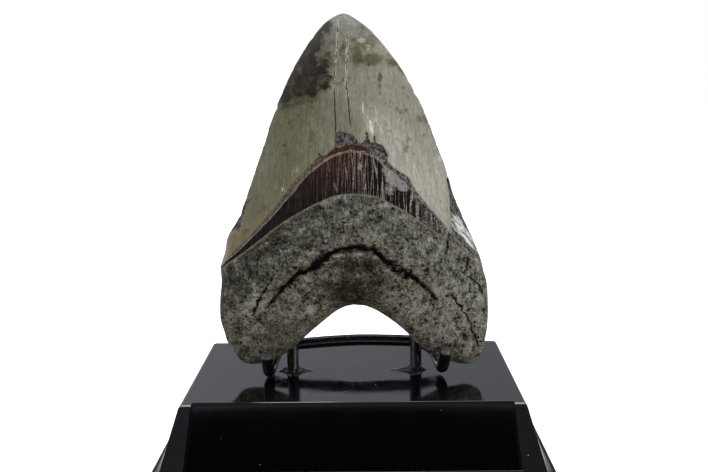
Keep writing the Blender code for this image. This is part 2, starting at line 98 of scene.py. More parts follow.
# Name plate and its recess, along the sloping front
RECESS_HALF_WIDTH = 59.0
RECESS_START = -3.0
RECESS_END = 25.8
PLATE_HALF_WIDTH = 58.4
PLATE_START = 0.6
PLATE_END = 25.4
PLATE_THICK = 1.1
PLATE_GAP = 0.3

# Moulded ring on the block's top: place, and the radii of its two steps
RING_CENTRE = (1.4, 38.8)
RING_OUTER = 14.4
RING_INNER = 9.0

# Steel rod, with the rounding of its cut ends
ROD_RIM = 0.35
FOOT_DEPTH = 7.5
POST_LEAN = math.radians(18.5)
POST_Y = 36.7
LEFT_POST_X = -24.6
RIGHT_POST_X = 25.3

# Tooth: a point on the plane of its cutting edges, and how far that plane leans back
TOOTH_FOOT = Vector((0.0, 31.0, 4.7))
TOOTH_LEAN = math.radians(16.0)

BLOCK_BACK = TOP_DEPTH + SIDE_LEAN * COVE_END + LIP_STEP + COVE_WIDTH * (
    1.0 - math.sqrt(1.0 - (COVE_END / COVE_HEIGHT) ** 2))
BLOCK_FRONT = -COVE_END * math.tan(FRONT_TILT) - LIP_STEP
ORIGIN_SHIFT = Vector((0.0, -(BLOCK_BACK + BLOCK_FRONT) / 2.0, BLOCK_HEIGHT))

# The tooth's outline seen square on: across, then up from the level of the lobes' feet
LEFT_EDGE = [(-3.0, 142.9), (-5.7, 142.0), (-9.8, 139.4), (-14.5, 134.3), (-18.0, 129.2),
             (-22.6, 121.6), (-27.4, 111.7), (-32.4, 99.2), (-36.3, 86.8), (-40.5, 74.5),
             (-43.5, 65.4), (-46.8, 57.4), (-50.2, 51.6), (-51.6, 44.8), (-52.9, 40.0),
             (-53.0, 37.4), (-52.6, 32.6), (-53.2, 26.4), (-53.1, 18.8), (-51.4, 13.0),
             (-50.2, 9.2), (-47.3, 5.1), (-44.3, 1.5), (-40.4, 0.2)]
RIGHT_EDGE = [(-3.0, 142.9), (0.2, 141.9), (7.4, 136.6), (12.2, 131.4), (16.1, 126.3),
              (21.5, 118.6), (25.5, 111.0), (29.3, 103.3), (32.2, 96.0), (34.8, 88.5),
              (37.5, 81.0), (39.2, 75.8), (41.0, 68.6), (43.8, 61.2), (46.8, 53.9),
              (49.1, 48.8), (51.2, 43.4), (52.2, 39.2), (52.6, 36.8), (53.9, 31.6),
              (54.2, 25.6), (54.0, 17.5), (52.9, 10.2), (50.6, 3.0), (47.4, 0.2), (43.6, -0.4)]
LEFT_ARCH = [(0.4, 23.5), (-1.9, 23.2), (-6.9, 20.8), (-13.2, 15.9), (-19.2, 10.8),
             (-24.6, 6.0), (-30.4, 2.5), (-35.4, 0.8), (-40.4, 0.2)]
RIGHT_ARCH = [(0.4, 23.5), (3.4, 23.4), (8.2, 21.8), (14.5, 18.0), (20.8, 13.0),
              (25.2, 8.2), (30.0, 4.6), (36.4, 1.6), (43.6, -0.4)]

# Lines that cross the tooth's front and guide the mesh: the two halves of each run in to its crest
ENAMEL_LEFT = [(-52.9, 40.0), (-45.2, 45.4), (-38.8, 50.8), (-31.3, 59.2), (-24.6, 66.6),
               (-19.6, 72.6), (-12.6, 78.6), (-6.4, 83.8), (-1.4, 86.6)]
ENAMEL_RIGHT = [(52.2, 39.2), (46.4, 43.6), (39.3, 50.2), (34.4, 55.4), (29.7, 61.0),
                (24.4, 68.4), (19.2, 74.0), (12.4, 78.6), (5.2, 83.6), (-1.4, 86.6)]
SHELF_LEFT = [(-53.0, 37.4), (-46.6, 41.4), (-38.5, 46.9), (-28.4, 54.4), (-19.8, 59.4),
              (-10.7, 63.7), (-4.8, 65.6), (0.6, 66.2)]
SHELF_RIGHT = [(52.6, 36.8), (46.2, 42.0), (39.1, 47.6), (28.7, 54.0), (21.3, 59.0),
               (14.7, 62.6), (8.5, 65.2), (0.6, 66.2)]
GROOVE_LEFT = [(-53.1, 18.8), (-42.0, 20.0), (-29.6, 26.4), (-23.4, 32.2), (-16.4, 36.8),
               (-10.8, 41.2), (-5.0, 44.4), (1.4, 45.4)]
GROOVE_RIGHT = [(54.2, 25.6), (43.0, 24.4), (31.0, 28.8), (24.4, 33.2), (18.7, 35.8),
                (13.2, 40.0), (7.6, 44.2), (1.4, 45.4)]
NECK_LEFT = [(-47.3, 5.1), (-37.0, 10.4), (-27.0, 14.8), (-15.0, 19.2), (-6.0, 22.2), (0.4, 23.5)]
NECK_RIGHT = [(52.9, 10.2), (41.0, 13.0), (29.0, 16.6), (16.0, 20.4), (7.0, 22.8), (0.4, 23.5)]

# Thickness at the middle, front and back, against height
FRONT_PROFILE = [(-2.0, 6.4), (8.0, 7.8), (18.0, 10.8), (28.0, 14.4), (40.0, 17.2), (52.0, 17.4),
                 (62.0, 16.0), (74.0, 14.4), (90.0, 12.8), (106.0, 10.8), (122.0, 7.8),
                 (134.0, 4.9), (140.0, 2.8), (142.9, 1.0)]
BACK_PROFILE = [(-2.0, 5.2), (10.0, 5.4), (30.0, 5.5), (50.0, 5.6), (70.0, 5.4), (90.0, 5.0),
                (110.0, 4.2), (128.0, 3.0), (140.0, 1.6), (142.9, 0.7)]
ROOT_ROUND = 6.5
CROWN_ROUND = 1.2
CROWN_EDGE_FROM = 62.0
ROOT_EDGE_FROM = 30.0
ROOT_SIDE_FALL = 0.48
TIP_BEND = 2.4
ENAMEL_STEP = 0.5
SHELF_STEP = 1.1
LUMP = 0.28
BACK_STEP = 0.3
BACK_LUMP_SHARE = 0.6
GROOVE_DEPTH = 2.0
CRACK_DEPTH = 0.6
CRACK_HALF_WIDTH = 0.5
FRONT_PIT_DEPTH = 0.6
BACK_PIT_DEPTH = 0.5

# Half width of the root's groove, and where it widens: place across, reach and extra half width
GROOVE_HALF_WIDTH = 0.75
GROOVE_SWELLS = [(-11.0, 3.4, 0.7), (17.0, 6.5, 0.8)]

# Layers of relief: amount, size of the lumps (or their width and height) and seed
FRONT_FLUTES = [(0.07, (1.9, 26.0), 25), (0.03, (0.9, 14.0), 26)]
BOURLETTE_STRIPS = [(0.14, (1.1, 7.0), 27)]
FRONT_GRAIN = [(0.30, 4.6, 28), (0.20, 2.1, 29), (0.14, 1.1, 30)]
BACK_GRAIN = [(0.26, 4.9, 31), (0.16, 2.3, 32)]
BACK_FLUTES = [(0.06, (3.2, 30.0), 34)]

# Enamel's ragged lower edge on the front, from the left edge of the tooth to the right
ENAMEL_LINE = [(-53.4, 38.6), (-51.0, 39.8), (-45.0, 46.0), (-39.0, 51.6), (-33.0, 58.6),
               (-28.2, 64.2), (-25.9, 67.3), (-23.9, 69.9), (-22.0, 72.5), (-18.9, 75.0), (-16.6, 77.6),
               (-14.7, 79.6), (-13.0, 80.9), (-12.3, 83.6), (-11.3, 81.4), (-9.4, 81.8), (-7.9, 83.5),
               (-6.6, 84.9), (-6.1, 86.6), (-5.8, 89.4), (-5.4, 91.2), (-3.7, 91.2), (-1.8, 90.6),
               (0.3, 90.0), (1.2, 89.2), (1.9, 88.2), (2.5, 87.4), (3.1, 86.4), (4.5, 86.4), (5.7, 87.6),
               (6.0, 91.4), (6.7, 91.0), (7.1, 88.6), (7.7, 86.6), (8.9, 86.7), (9.2, 90.1), (9.6, 89.9),
               (10.0, 86.5), (11.3, 85.9), (12.0, 86.4), (12.8, 85.4), (13.9, 83.5), (14.6, 81.6),
               (14.2, 79.6), (15.7, 77.8), (17.2, 76.3), (20.6, 74.5), (22.9, 73.0), (23.6, 71.1),
               (25.1, 68.5), (26.2, 66.6), (28.4, 64.0), (31.0, 61.0), (35.6, 55.6), (39.5, 51.0),
               (44.9, 45.4), (50.3, 39.8), (53.0, 37.8)]
ENAMEL_LOST_RIGHT = [(38.4, 73.8), (39.5, 68.0), (39.3, 63.0), (39.6, 58.3), (39.4, 50.0), (44.9, 44.8),
                     (50.3, 39.2), (58.0, 36.0), (58.0, 50.0), (48.0, 62.0), (43.6, 70.0), (39.9, 75.5)]
ENAMEL_LOST_LEFT = [(-42.6, 66.1), (-43.2, 62.7), (-43.4, 60.8), (-44.2, 59.5), (-44.9, 57.1), (-44.4, 55.4),
                    (-44.7, 53.2), (-45.6, 53.4), (-46.7, 54.5), (-47.9, 53.8), (-50.0, 52.4),
                    (-53.0, 54.0), (-53.0, 60.0), (-46.0, 68.0)]

# Arc where the dark bourlette starts under the enamel, and a second, fainter one inside its crest
BOURLETTE_ARC = [(-53.4, 38.2), (-45.0, 44.6), (-37.0, 52.2), (-31.5, 57.8), (-28.1, 61.4), (-26.2, 63.8),
                 (-23.1, 66.8), (-20.8, 69.7), (-18.9, 72.0), (-16.6, 74.4), (-13.9, 76.9),
                 (-12.0, 78.5), (-9.8, 79.9), (-7.5, 81.2), (-5.2, 82.1), (-2.2, 83.0), (0.0, 83.3),
                 (2.3, 83.1), (4.9, 82.7), (7.1, 81.9), (9.7, 80.8), (11.6, 79.2), (13.8, 77.0),
                 (16.8, 74.6), (19.8, 72.0), (22.4, 69.4), (24.7, 66.8), (27.3, 63.9), (31.0, 60.2),
                 (37.1, 53.0), (44.9, 44.4), (53.0, 37.0)]
INNER_ARC = [(-15.2, 75.4), (-12.0, 78.2), (-9.8, 79.6), (-7.5, 80.9), (-5.2, 81.8), (-2.2, 82.7),
             (0.0, 83.0), (2.3, 82.8), (4.9, 82.4), (7.1, 81.6), (9.7, 80.4), (11.6, 78.8), (13.4, 76.8)]

# Where the root starts on the back, and the bare gap between it and the enamel
BACK_ROOT_LINE = [(-53.4, 38.0), (-40.0, 46.0), (-24.0, 53.0), (-8.0, 57.0), (4.0, 57.4), (20.0, 54.0),
                  (36.0, 47.0), (53.4, 37.4)]
BACK_GAP = 0.5

# Long groove across the root, and the root's short cracks
GROOVE_LINE = [(-37.0, 18.5), (-32.8, 23.5), (-29.6, 26.9), (-26.7, 30.3), (-23.6, 32.6),
               (-21.2, 35.2), (-18.0, 36.3), (-15.3, 37.4), (-13.0, 39.1), (-10.6, 41.2),
               (-7.5, 43.1), (-4.8, 44.2), (-1.4, 45.1), (2.5, 45.3), (5.5, 44.5), (8.2, 44.1),
               (10.5, 42.5), (12.8, 40.2), (15.5, 37.9), (18.5, 35.8), (21.6, 34.4), (24.3, 33.3),
               (27.0, 31.0), (29.7, 29.0), (33.3, 24.8), (38.0, 21.3)]
ROOT_CRACKS = [
    [(-36.3, 41.0), (-36.6, 38.6), (-36.7, 35.1)],
    [(-30.2, 34.6), (-31.8, 31.6), (-35.1, 27.8), (-36.8, 24.7), (-38.9, 20.1)],
    [(45.1, 41.1), (44.9, 38.6), (44.9, 36.4)],
    [(38.8, 26.7), (42.4, 22.0), (45.2, 17.7), (47.6, 11.9), (50.0, 7.1)],
    [(45.2, 34.0), (49.2, 30.9), (50.7, 27.8)],
    [(37.7, 48.3), (37.0, 45.4), (36.7, 42.6)],
]

# The crown's two long cracks, from the tip down
CROWN_CRACKS = [
    [(-5.5, 140.8), (-4.9, 137.0), (-5.1, 130.2), (-5.3, 124.5), (-6.1, 118.9), (-6.4, 110.4),
     (-6.2, 101.5), (-5.8, 94.1), (-6.1, 88.0)],
    [(-1.0, 133.7), (-1.2, 124.4), (-1.6, 114.9), (-1.4, 108.9), (-0.8, 103.1), (-0.1, 94.0),
     (0.4, 90.0)],
]

# Marks on the front: across, up, half width, half height, strength
STAINS = [(-17.5, 120.0, 5.0, 9.0, 1.1), (-21.0, 112.0, 6.0, 7.0, 1.1), (-14.2, 131.0, 3.4, 6.0, 1.3),
          (-10.8, 117.0, 3.6, 6.0, 0.72), (-15.5, 108.5, 5.0, 3.6, 0.85), (-26.5, 103.8, 3.4, 2.2, 0.8),
          (-12.5, 113.0, 5.0, 6.0, 0.8), (-23.5, 117.0, 4.0, 7.0, 1.1), (-18.6, 127.0, 3.4, 6.0, 1.1),
          (-26.2, 110.0, 3.4, 6.0, 1.1), (-9.8, 136.6, 2.6, 3.0, 1.2)]
MOTTLES = [(4.8, 134.5, 2.6, 3.0, 0.9), (9.0, 131.4, 2.6, 3.6, 0.9), (3.1, 123.5, 3.2, 4.5, 1.0),
           (8.8, 121.9, 5.0, 2.6, 1.1), (6.0, 127.5, 4.5, 4.0, 0.8), (16.9, 121.9, 3.4, 2.6, 0.95),
           (20.5, 119.0, 2.0, 2.4, 0.7), (21.6, 110.8, 1.4, 1.4, 0.7), (20.6, 100.2, 4.0, 3.4, 0.62),
           (28.8, 97.8, 4.6, 3.6, 0.6), (-15.8, 89.7, 1.8, 3.6, 0.72), (21.4, 85.2, 1.2, 3.0, 0.7),
           (12.0, 115.0, 1.0, 5.0, 0.7), (-27.0, 82.0, 2.0, 5.0, 0.4), (-34.0, 62.0, 5.0, 4.0, 0.3),
           (-8.6, 112.0, 2.2, 5.0, 0.7), (-2.6, 124.0, 1.4, 7.0, 0.55), (22.5, 88.4, 0.9, 2.6, 0.6)]
PALE_SPOTS = [(2.6, 133.4, 3.0, 1.8, 0.72), (7.4, 126.0, 2.2, 3.0, 0.75), (5.2, 129.4, 2.4, 1.6, 0.65),
              (34.6, 86.4, 1.3, 1.6, 0.9), (35.9, 82.2, 1.9, 2.6, 1.0), (37.8, 76.0, 1.0, 1.3, 0.8),
              (39.4, 70.9, 1.3, 2.2, 0.95), (31.0, 98.5, 1.0, 1.0, 0.5), (-21.0, 109.8, 2.0, 1.4, 0.5)]
# Pale streaks on the crown: partly real scratches and flecks, partly painted highlight where the enamel's
# sheen catches the light.
WHITE_SCRATCHES_AND_SHEEN = [(4.9, 99.6, 1.2, 4.4, 0.9), (6.6, 96.4, 1.0, 3.8, 0.85), (9.9, 97.6, 1.0, 4.4, 1.0),
                 (8.2, 93.0, 2.8, 5.0, 0.95), (12.4, 92.0, 1.4, 4.0, 0.85), (14.6, 87.6, 1.6, 3.6, 0.6),
                 (16.4, 80.6, 1.6, 5.0, 0.7), (-13.6, 92.0, 0.8, 8.0, 0.6), (-22.0, 76.5, 2.6, 3.0, 0.75),
                 (-27.2, 68.6, 2.0, 3.6, 0.8), (24.0, 66.0, 3.0, 8.0, 0.4), (-33.5, 60.0, 2.0, 3.0, 0.5)]
SILVER_AREA = [(42.0, 52.5, 2.6, 5.5, 1.0), (45.4, 47.2, 2.6, 4.6, 1.0), (49.4, 41.4, 2.2, 3.6, 0.9)]
WORN_AREA = [(14.6, 75.4, 2.6, 3.6, 0.9), (17.0, 72.0, 3.4, 3.6, 1.0), (20.6, 70.4, 3.4, 3.2, 1.0),
             (15.0, 68.0, 3.0, 3.4, 0.7), (25.0, 65.0, 3.0, 2.4, 0.6), (3.6, 76.8, 1.4, 2.4, 0.75)]
BROWN_AREA = [(-6.4, 39.0, 4.5, 3.0, 0.8), (0.5, 38.5, 7.0, 5.0, 0.9), (7.0, 38.0, 5.0, 4.0, 0.8),
              (9.5, 31.0, 5.0, 5.0, 0.8), (0.5, 28.5, 10.0, 5.5, 1.1), (-8.0, 31.0, 5.0, 5.0, 0.7),
              (14.0, 24.0, 7.0, 3.0, 0.5), (-30.0, 12.0, 9.0, 6.0, 0.45)]
ROOT_PALE = [(-37.6, 27.6, 1.9, 3.0, 0.9), (-40.6, 24.0, 2.2, 1.4, 0.7), (-16.4, 21.2, 2.6, 2.4, 0.8),
             (-19.4, 19.0, 2.0, 1.8, 0.7), (36.0, 15.0, 8.0, 7.0, 0.5), (33.0, 27.0, 6.0, 4.0, 0.4),
             (45.0, 25.0, 8.0, 9.0, 0.5), (-38.0, 20.0, 9.0, 10.0, 0.42), (-9.5, 39.4, 3.6, 0.9, 0.75),
             (-5.0, 42.0, 2.6, 0.8, 0.8), (2.0, 42.4, 4.0, 0.8, 0.7), (8.6, 41.4, 2.4, 0.9, 0.8),
             (20.0, 44.0, 9.0, 6.0, 0.35), (0.0, 60.0, 12.0, 4.0, 0.3), (24.0, 23.0, 8.0, 5.0, 0.4)]

# Cross bar from one end to the other: its two ends bend forward and up in front of the lobes
CRADLE_ROUTE = [(-33.2, 22.2, 11.0), (-33.2, 23.2, 9.0), (-33.2, 24.8, 6.2), (-33.2, 27.0, 3.7),
                (-33.1, 29.9, 2.65), (-32.8, 34.0, 3.0), (-32.2, 38.0, 4.5), (-30.8, 42.0, 6.9),
                (-27.4, 44.6, 8.3), (-22.2, 45.0, 8.8), (-10.0, 45.2, 9.7), (1.5, 45.3, 10.2),
                (12.0, 45.2, 10.1), (23.0, 45.0, 9.7), (28.6, 44.6, 8.7), (32.4, 42.0, 6.9),
                (34.0, 38.0, 5.0), (34.6, 34.0, 3.8), (34.9, 30.4, 3.7), (35.2, 27.3, 4.7),
                (35.5, 25.0, 7.3), (35.8, 23.4, 10.3), (36.0, 22.4, 12.3)]

# Set adhesive round the posts: how far it runs left, right, forwards and back, and its mesh
LEFT_GLUE_REACHES = (6.6, 8.6, 3.6, 4.2)
RIGHT_GLUE_REACHES = (11.0, 4.4, 3.4, 4.2)
GLUE_POINT_POWER = 1.25
GLUE_HEIGHT = 1.7
GLUE_EDGE_HEIGHT = 0.55
GLUE_SIDES = 72
GLUE_RINGS = 22

# Mesh fineness: columns across half of the front and back, and rows in each band
FRONT_COLUMNS = 105
BACK_COLUMNS = 40
BAND_ROWS = (150, 40, 50, 50)
LOBE_ROW_COUNT = 46
ROD_SIDES = 32
ROD_STEP = 0.8
RIM_STEPS = 5
SPAN_STEPS = 20

# Cells along each side of the noise's lattice, and how far the stored distances reach
NOISE_CELLS = 128
FIELD_REACH = 20.0

# Camera, fitted to the block's four top corners: place, then yaw, pitch and roll in radians
CAMERA_PLACE = (5.1, -304.3, 118.5)
CAMERA_TURN = (-0.0123, 0.1829, 0.0126)
SENSOR_WIDTH = 36.0

# Studio: brightness against height over the horizon, its tint, and the strip lamp
ROOM_BRIGHTNESS = [(0.0, 1.0), (0.10, 0.9), (0.20, 0.47), (0.30, 0.42), (0.37, 0.54), (0.62, 0.5),
                   (0.80, 0.5), (0.90, 0.6), (1.0, 0.6)]
ROOM_TINT = (0.94, 0.98, 1.08)
LAMP_COLOUR = (7.0, 7.3, 7.6, 1.0)

# Soft lights, in metres: place and size of each, and the point that both look at
KEY_LIGHT = ((0.62, -0.42, 0.34), (0.5, 0.6))
FILL_LIGHT = ((-0.6, -0.5, 0.22), (0.5, 0.5))
LIGHT_TARGET = Vector((0.0, 0.0, 0.09))


def place(x, y, z):
    """Place in the scene, in metres, of a point measured from the block's top front edge."""
    return (Vector((x, y, z)) + ORIGIN_SHIFT) * MM


def linear(hex_colour):
    """Linear colour with alpha from an sRGB hex value."""
    values = [int(hex_colour[i:i + 2], 16) / 255.0 for i in (1, 3, 5)]
    parts = [v / 12.92 if v <= 0.04045 else ((v + 0.055) / 1.055) ** 2.4 for v in values]
    return (*parts, 1.0)


def smoothstep(value, low, high):
    t = np.clip((value - low) / (high - low), 0.0, 1.0)
    return t * t * (3.0 - 2.0 * t)


def smooth_line(points, per_span=SPAN_STEPS):
    """Dense Catmull-Rom line through the points."""
    p = np.array(points, dtype=float)
    ends = np.vstack([2 * p[0] - p[1], p, 2 * p[-1] - p[-2]])
    t = np.linspace(0.0, 1.0, per_span, endpoint=False)[:, None]
    spans = []
    for i in range(len(p) - 1):
        a, b, c, d = ends[i:i + 4]
        spans.append(0.5 * (2 * b + (c - a) * t + (2 * a - 5 * b + 4 * c - d) * t ** 2
                            + (3 * b - a - 3 * c + d) * t ** 3))
    return np.vstack(spans + [p[-1:]])


def along(line, fractions):
    """Points of a dense line at fractions of its length."""
    steps = np.linalg.norm(np.diff(line, axis=0), axis=1)
    length = np.concatenate([[0.0], np.cumsum(steps)])
    at = np.asarray(fractions) * length[-1]
    return np.stack([np.interp(at, length, line[:, k]) for k in range(line.shape[1])], axis=-1)


def part_of_edge(edge, start, end):
    """The stretch of a smooth edge between two of its own points."""
    first, last = edge.index(start), edge.index(end)
    return smooth_line(edge)[first * SPAN_STEPS:last * SPAN_STEPS + 1]


def line_distance(points, line):
    """Distance from each point to a run of straight pieces."""
    line = np.asarray(line, dtype=float)
    start, end = line[:-1], line[1:]
    run = end - start
    square = np.maximum((run ** 2).sum(axis=1), 1e-9)
    nearest = np.empty(len(points))
    for first in range(0, len(points), 2000):
        block = points[first:first + 2000, None, :] - start[None]
        t = np.clip((block * run).sum(axis=2) / square, 0.0, 1.0)
        gap = block - t[..., None] * run
        nearest[first:first + 2000] = np.sqrt((gap ** 2).sum(axis=2).min(axis=1))
    return nearest


def is_inside(points, corners):
    """True for each point inside a closed outline."""
    corners = np.asarray(corners, dtype=float)
    x, y = points[:, 0], points[:, 1]
    inside = np.zeros(len(points), dtype=bool)
    for (x0, y0), (x1, y1) in zip(corners, np.roll(corners, -1, axis=0)):
        crosses = (y0 > y) != (y1 > y)
        at = x0 + (y - y0) * (x1 - x0) / (y1 - y0 if y1 != y0 else 1.0)
        inside ^= crosses & (x < at)
    return inside


def gap_below(points, line):
    """Distance to a line that crosses the tooth, above zero for points under it."""
    line = np.asarray(line, dtype=float)
    order = np.argsort(line[:, 0], kind="stable")
    level = np.interp(points[:, 0], line[order, 0], line[order, 1])
    return np.where(points[:, 1] < level, 1.0, -1.0) * line_distance(points, line)


def soft_noise(points, size, seed):
    """Smooth noise from -1 to 1 with lumps of one size, in millimetres across and up."""
    table = np.random.default_rng(seed).uniform(-1.0, 1.0, (NOISE_CELLS, NOISE_CELLS))
    at = points / np.asarray(size) + NOISE_CELLS / 2
    cell = np.floor(at).astype(int)
    t = at - cell
    t = t * t * (3.0 - 2.0 * t)
    x0, y0 = (cell % NOISE_CELLS).T
    x1, y1 = ((cell + 1) % NOISE_CELLS).T
    low = table[x0, y0] * (1.0 - t[:, 0]) + table[x1, y0] * t[:, 0]
    high = table[x0, y1] * (1.0 - t[:, 0]) + table[x1, y1] * t[:, 0]
    return low * (1.0 - t[:, 1]) + high * t[:, 1]


def layered_noise(points, layers):
    """Sum of layers of noise, each with its amount, size and seed."""
    return sum(amount * soft_noise(points, size, seed) for amount, size, seed in layers)


def mark_strength(points, marks):
    """Strength at each point of soft oval marks."""
    strength = np.zeros(len(points))
    for across, up, half_width, half_height, amount in marks:
        reach = ((points[:, 0] - across) / half_width) ** 2 + ((points[:, 1] - up) / half_height) ** 2
        strength = np.maximum(strength, amount * np.exp(-0.7 * reach))
    return strength


def new_object(name, mesh, materials):
    item = bpy.data.objects.new(name, mesh)
    bpy.context.scene.collection.objects.link(item)
    for material in materials:
        mesh.materials.append(material)
    return item


def tube_faces(rings, sides):
    """Faces between rings of points, each ring closed on itself."""
    faces = []
    for first in range(0, (rings - 1) * sides, sides):
        for k in range(sides):
            a, b = first + k, first + (k + 1) % sides
            faces.append([a, a + sides, b + sides, b])
    return faces


def modified_mesh(item):
    """The object's mesh with its modifiers applied. The object is removed."""
    evaluated = item.evaluated_get(bpy.context.evaluated_depsgraph_get())
    result = bpy.data.meshes.new_from_object(evaluated)
    bpy.data.objects.remove(item)
    return result


def join_frame(item, node):
    """The piece moves with the stand and stands in for its CAD node, which is hidden."""
    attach(item, BODY)
    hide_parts(node)


# Materials

def add(tree, kind, links, output=0, **settings):
    """Adds one node. Settings are its own, links give its inputs, and one output is returned."""
    item = tree.nodes.new("ShaderNode" + kind)
    for name, value in settings.items():
        setattr(item, name, value)
    shown = [socket for socket in item.inputs if socket.enabled]
    for key, value in links.items():
        socket = shown[key] if isinstance(key, int) else next(s for s in shown if s.name == key)
        if isinstance(value, bpy.types.NodeSocket):
            tree.links.new(value, socket)
        else:
            socket.default_value = value
    return [socket for socket in item.outputs if socket.enabled][output]


def calculate(tree, operation, *values, **settings):
    """One step of arithmetic on numbers or sockets."""
    return add(tree, "Math", dict(enumerate(values)), operation=operation, **settings)


def multiply(tree, first, second):
    return calculate(tree, "MULTIPLY", first, second)


def multiply_add(tree, first, second, third, **settings):
    return calculate(tree, "MULTIPLY_ADD", first, second, third, **settings)


def around_zero(tree, pattern):
    """A pattern from 0 to 1, moved to lie from -0.5 to 0.5."""
    return calculate(tree, "ADD", pattern, -0.5)


def even_range(tree, value, low, high, at_low=0.0, at_high=1.0, **settings):
    """What lies between low and high, spread from at_low to at_high and held at both ends."""
    return add(tree, "MapRange", {0: value, 1: low, 2: high, 3: at_low, 4: at_high}, **settings)


def soft_range(tree, value, low, high, at_low=0.0, at_high=1.0):
    """The same spread, eased in and out."""
    return even_range(tree, value, low, high, at_low, at_high, interpolation_type="SMOOTHSTEP")


def ragged_share(tree, pattern, weight, base, low, high, **ends):
    """How far a layer shows: its own strength, with a pattern that makes its border ragged."""
    return soft_range(tree, multiply_add(tree, pattern, weight, base), low, high, **ends)


def noise(tree, spot, scale, detail, roughness=0.5, output=0):
    links = {"Vector": spot, "Scale": scale, "Detail": detail, "Roughness": roughness}
    return add(tree, "TexNoise", links, output)


def drawn_noise(tree, spot, scales, detail, roughness=0.5):
    """Noise drawn out along an axis by a scale for each."""
    return noise(tree, add(tree, "Mapping", {"Vector": spot, "Scale": scales}), 1.0, detail, roughness)


def blend(tree, share, first, second, **settings):
    """A colour between two, each of them a socket, a colour or an sRGB hex value."""
    first, second = (linear(part) if isinstance(part, str) else part for part in (first, second))
    return add(tree, "Mix", {0: share, 1: first, 2: second}, data_type="RGBA", **settings)


def blend_values(tree, share, first, second):
    return add(tree, "Mix", {0: share, 1: first, 2: second})


def shaded(tree, colour, amount):
    """A colour made darker or lighter by a value."""
    amount = add(tree, "CombineColor", {0: amount, 1: amount, 2: amount})
    return blend(tree, 1.0, colour, amount, blend_type="MULTIPLY")


def spot_in_mm(tree):
    """Place on the object, in millimetres."""
    spot = add(tree, "TexCoord", {}, output=3)
    return add(tree, "VectorMath", {0: spot, "Scale": 1.0 / MM}, operation="SCALE")


def dust_specks(tree, spot, scale, least, largest):
    """One where a speck of dust lies: cells whose random number passes the least, each with its size."""
    cell = add(tree, "TexVoronoi", {"Vector": spot, "Scale": scale})
    picked = add(tree, "SeparateColor", {0: cell.node.outputs["Color"]})
    return calculate(tree, "LESS_THAN", cell, even_range(tree, picked, least, 1.0, at_high=largest))


def new_material(name, constants):
    """A material with its tree and its surface shader, which gets the constants."""
    material = bpy.data.materials.new(name)
    material.use_nodes = True
    surface = material.node_tree.nodes["Principled BSDF"]
    for socket, value in constants.items():
        surface.inputs[socket].default_value = value
    return material, material.node_tree, surface


def finish_material(tree, surface, colour, roughness, height):
    """Links colour, roughness and a height in millimetres to the surface shader."""
    normal = add(tree, "Bump", {"Height": height, "Distance": MM, "Strength": 1.0})
    tree.links.new(colour, surface.inputs["Base Color"])
    tree.links.new(roughness, surface.inputs["Roughness"])
    tree.links.new(normal, surface.inputs["Normal"])


def tooth_fields(tree):
    """What the tooth's mesh stores at each point, as sockets by name, in millimetres or as strengths."""
    names = {"spot": ("across", "up", "out"), "zone": ("enamel", "bourlette", "root"),
             "edge_pit_shade_and_inner": ("edge", "pit", "inner"), "crack": ("first", "second", "front"),
             "stain": ("stain", "mottle", "brown"), "mark": ("pale", "silver", "white")}
    fields = {}
    for attribute, parts in names.items():
        vector = add(tree, "Attribute", {}, output=1, attribute_name=attribute)
        fields[attribute] = vector
        for k, part in enumerate(parts):
            fields[part + "_value"] = add(tree, "SeparateXYZ", {0: vector}, output=k)
    return fields


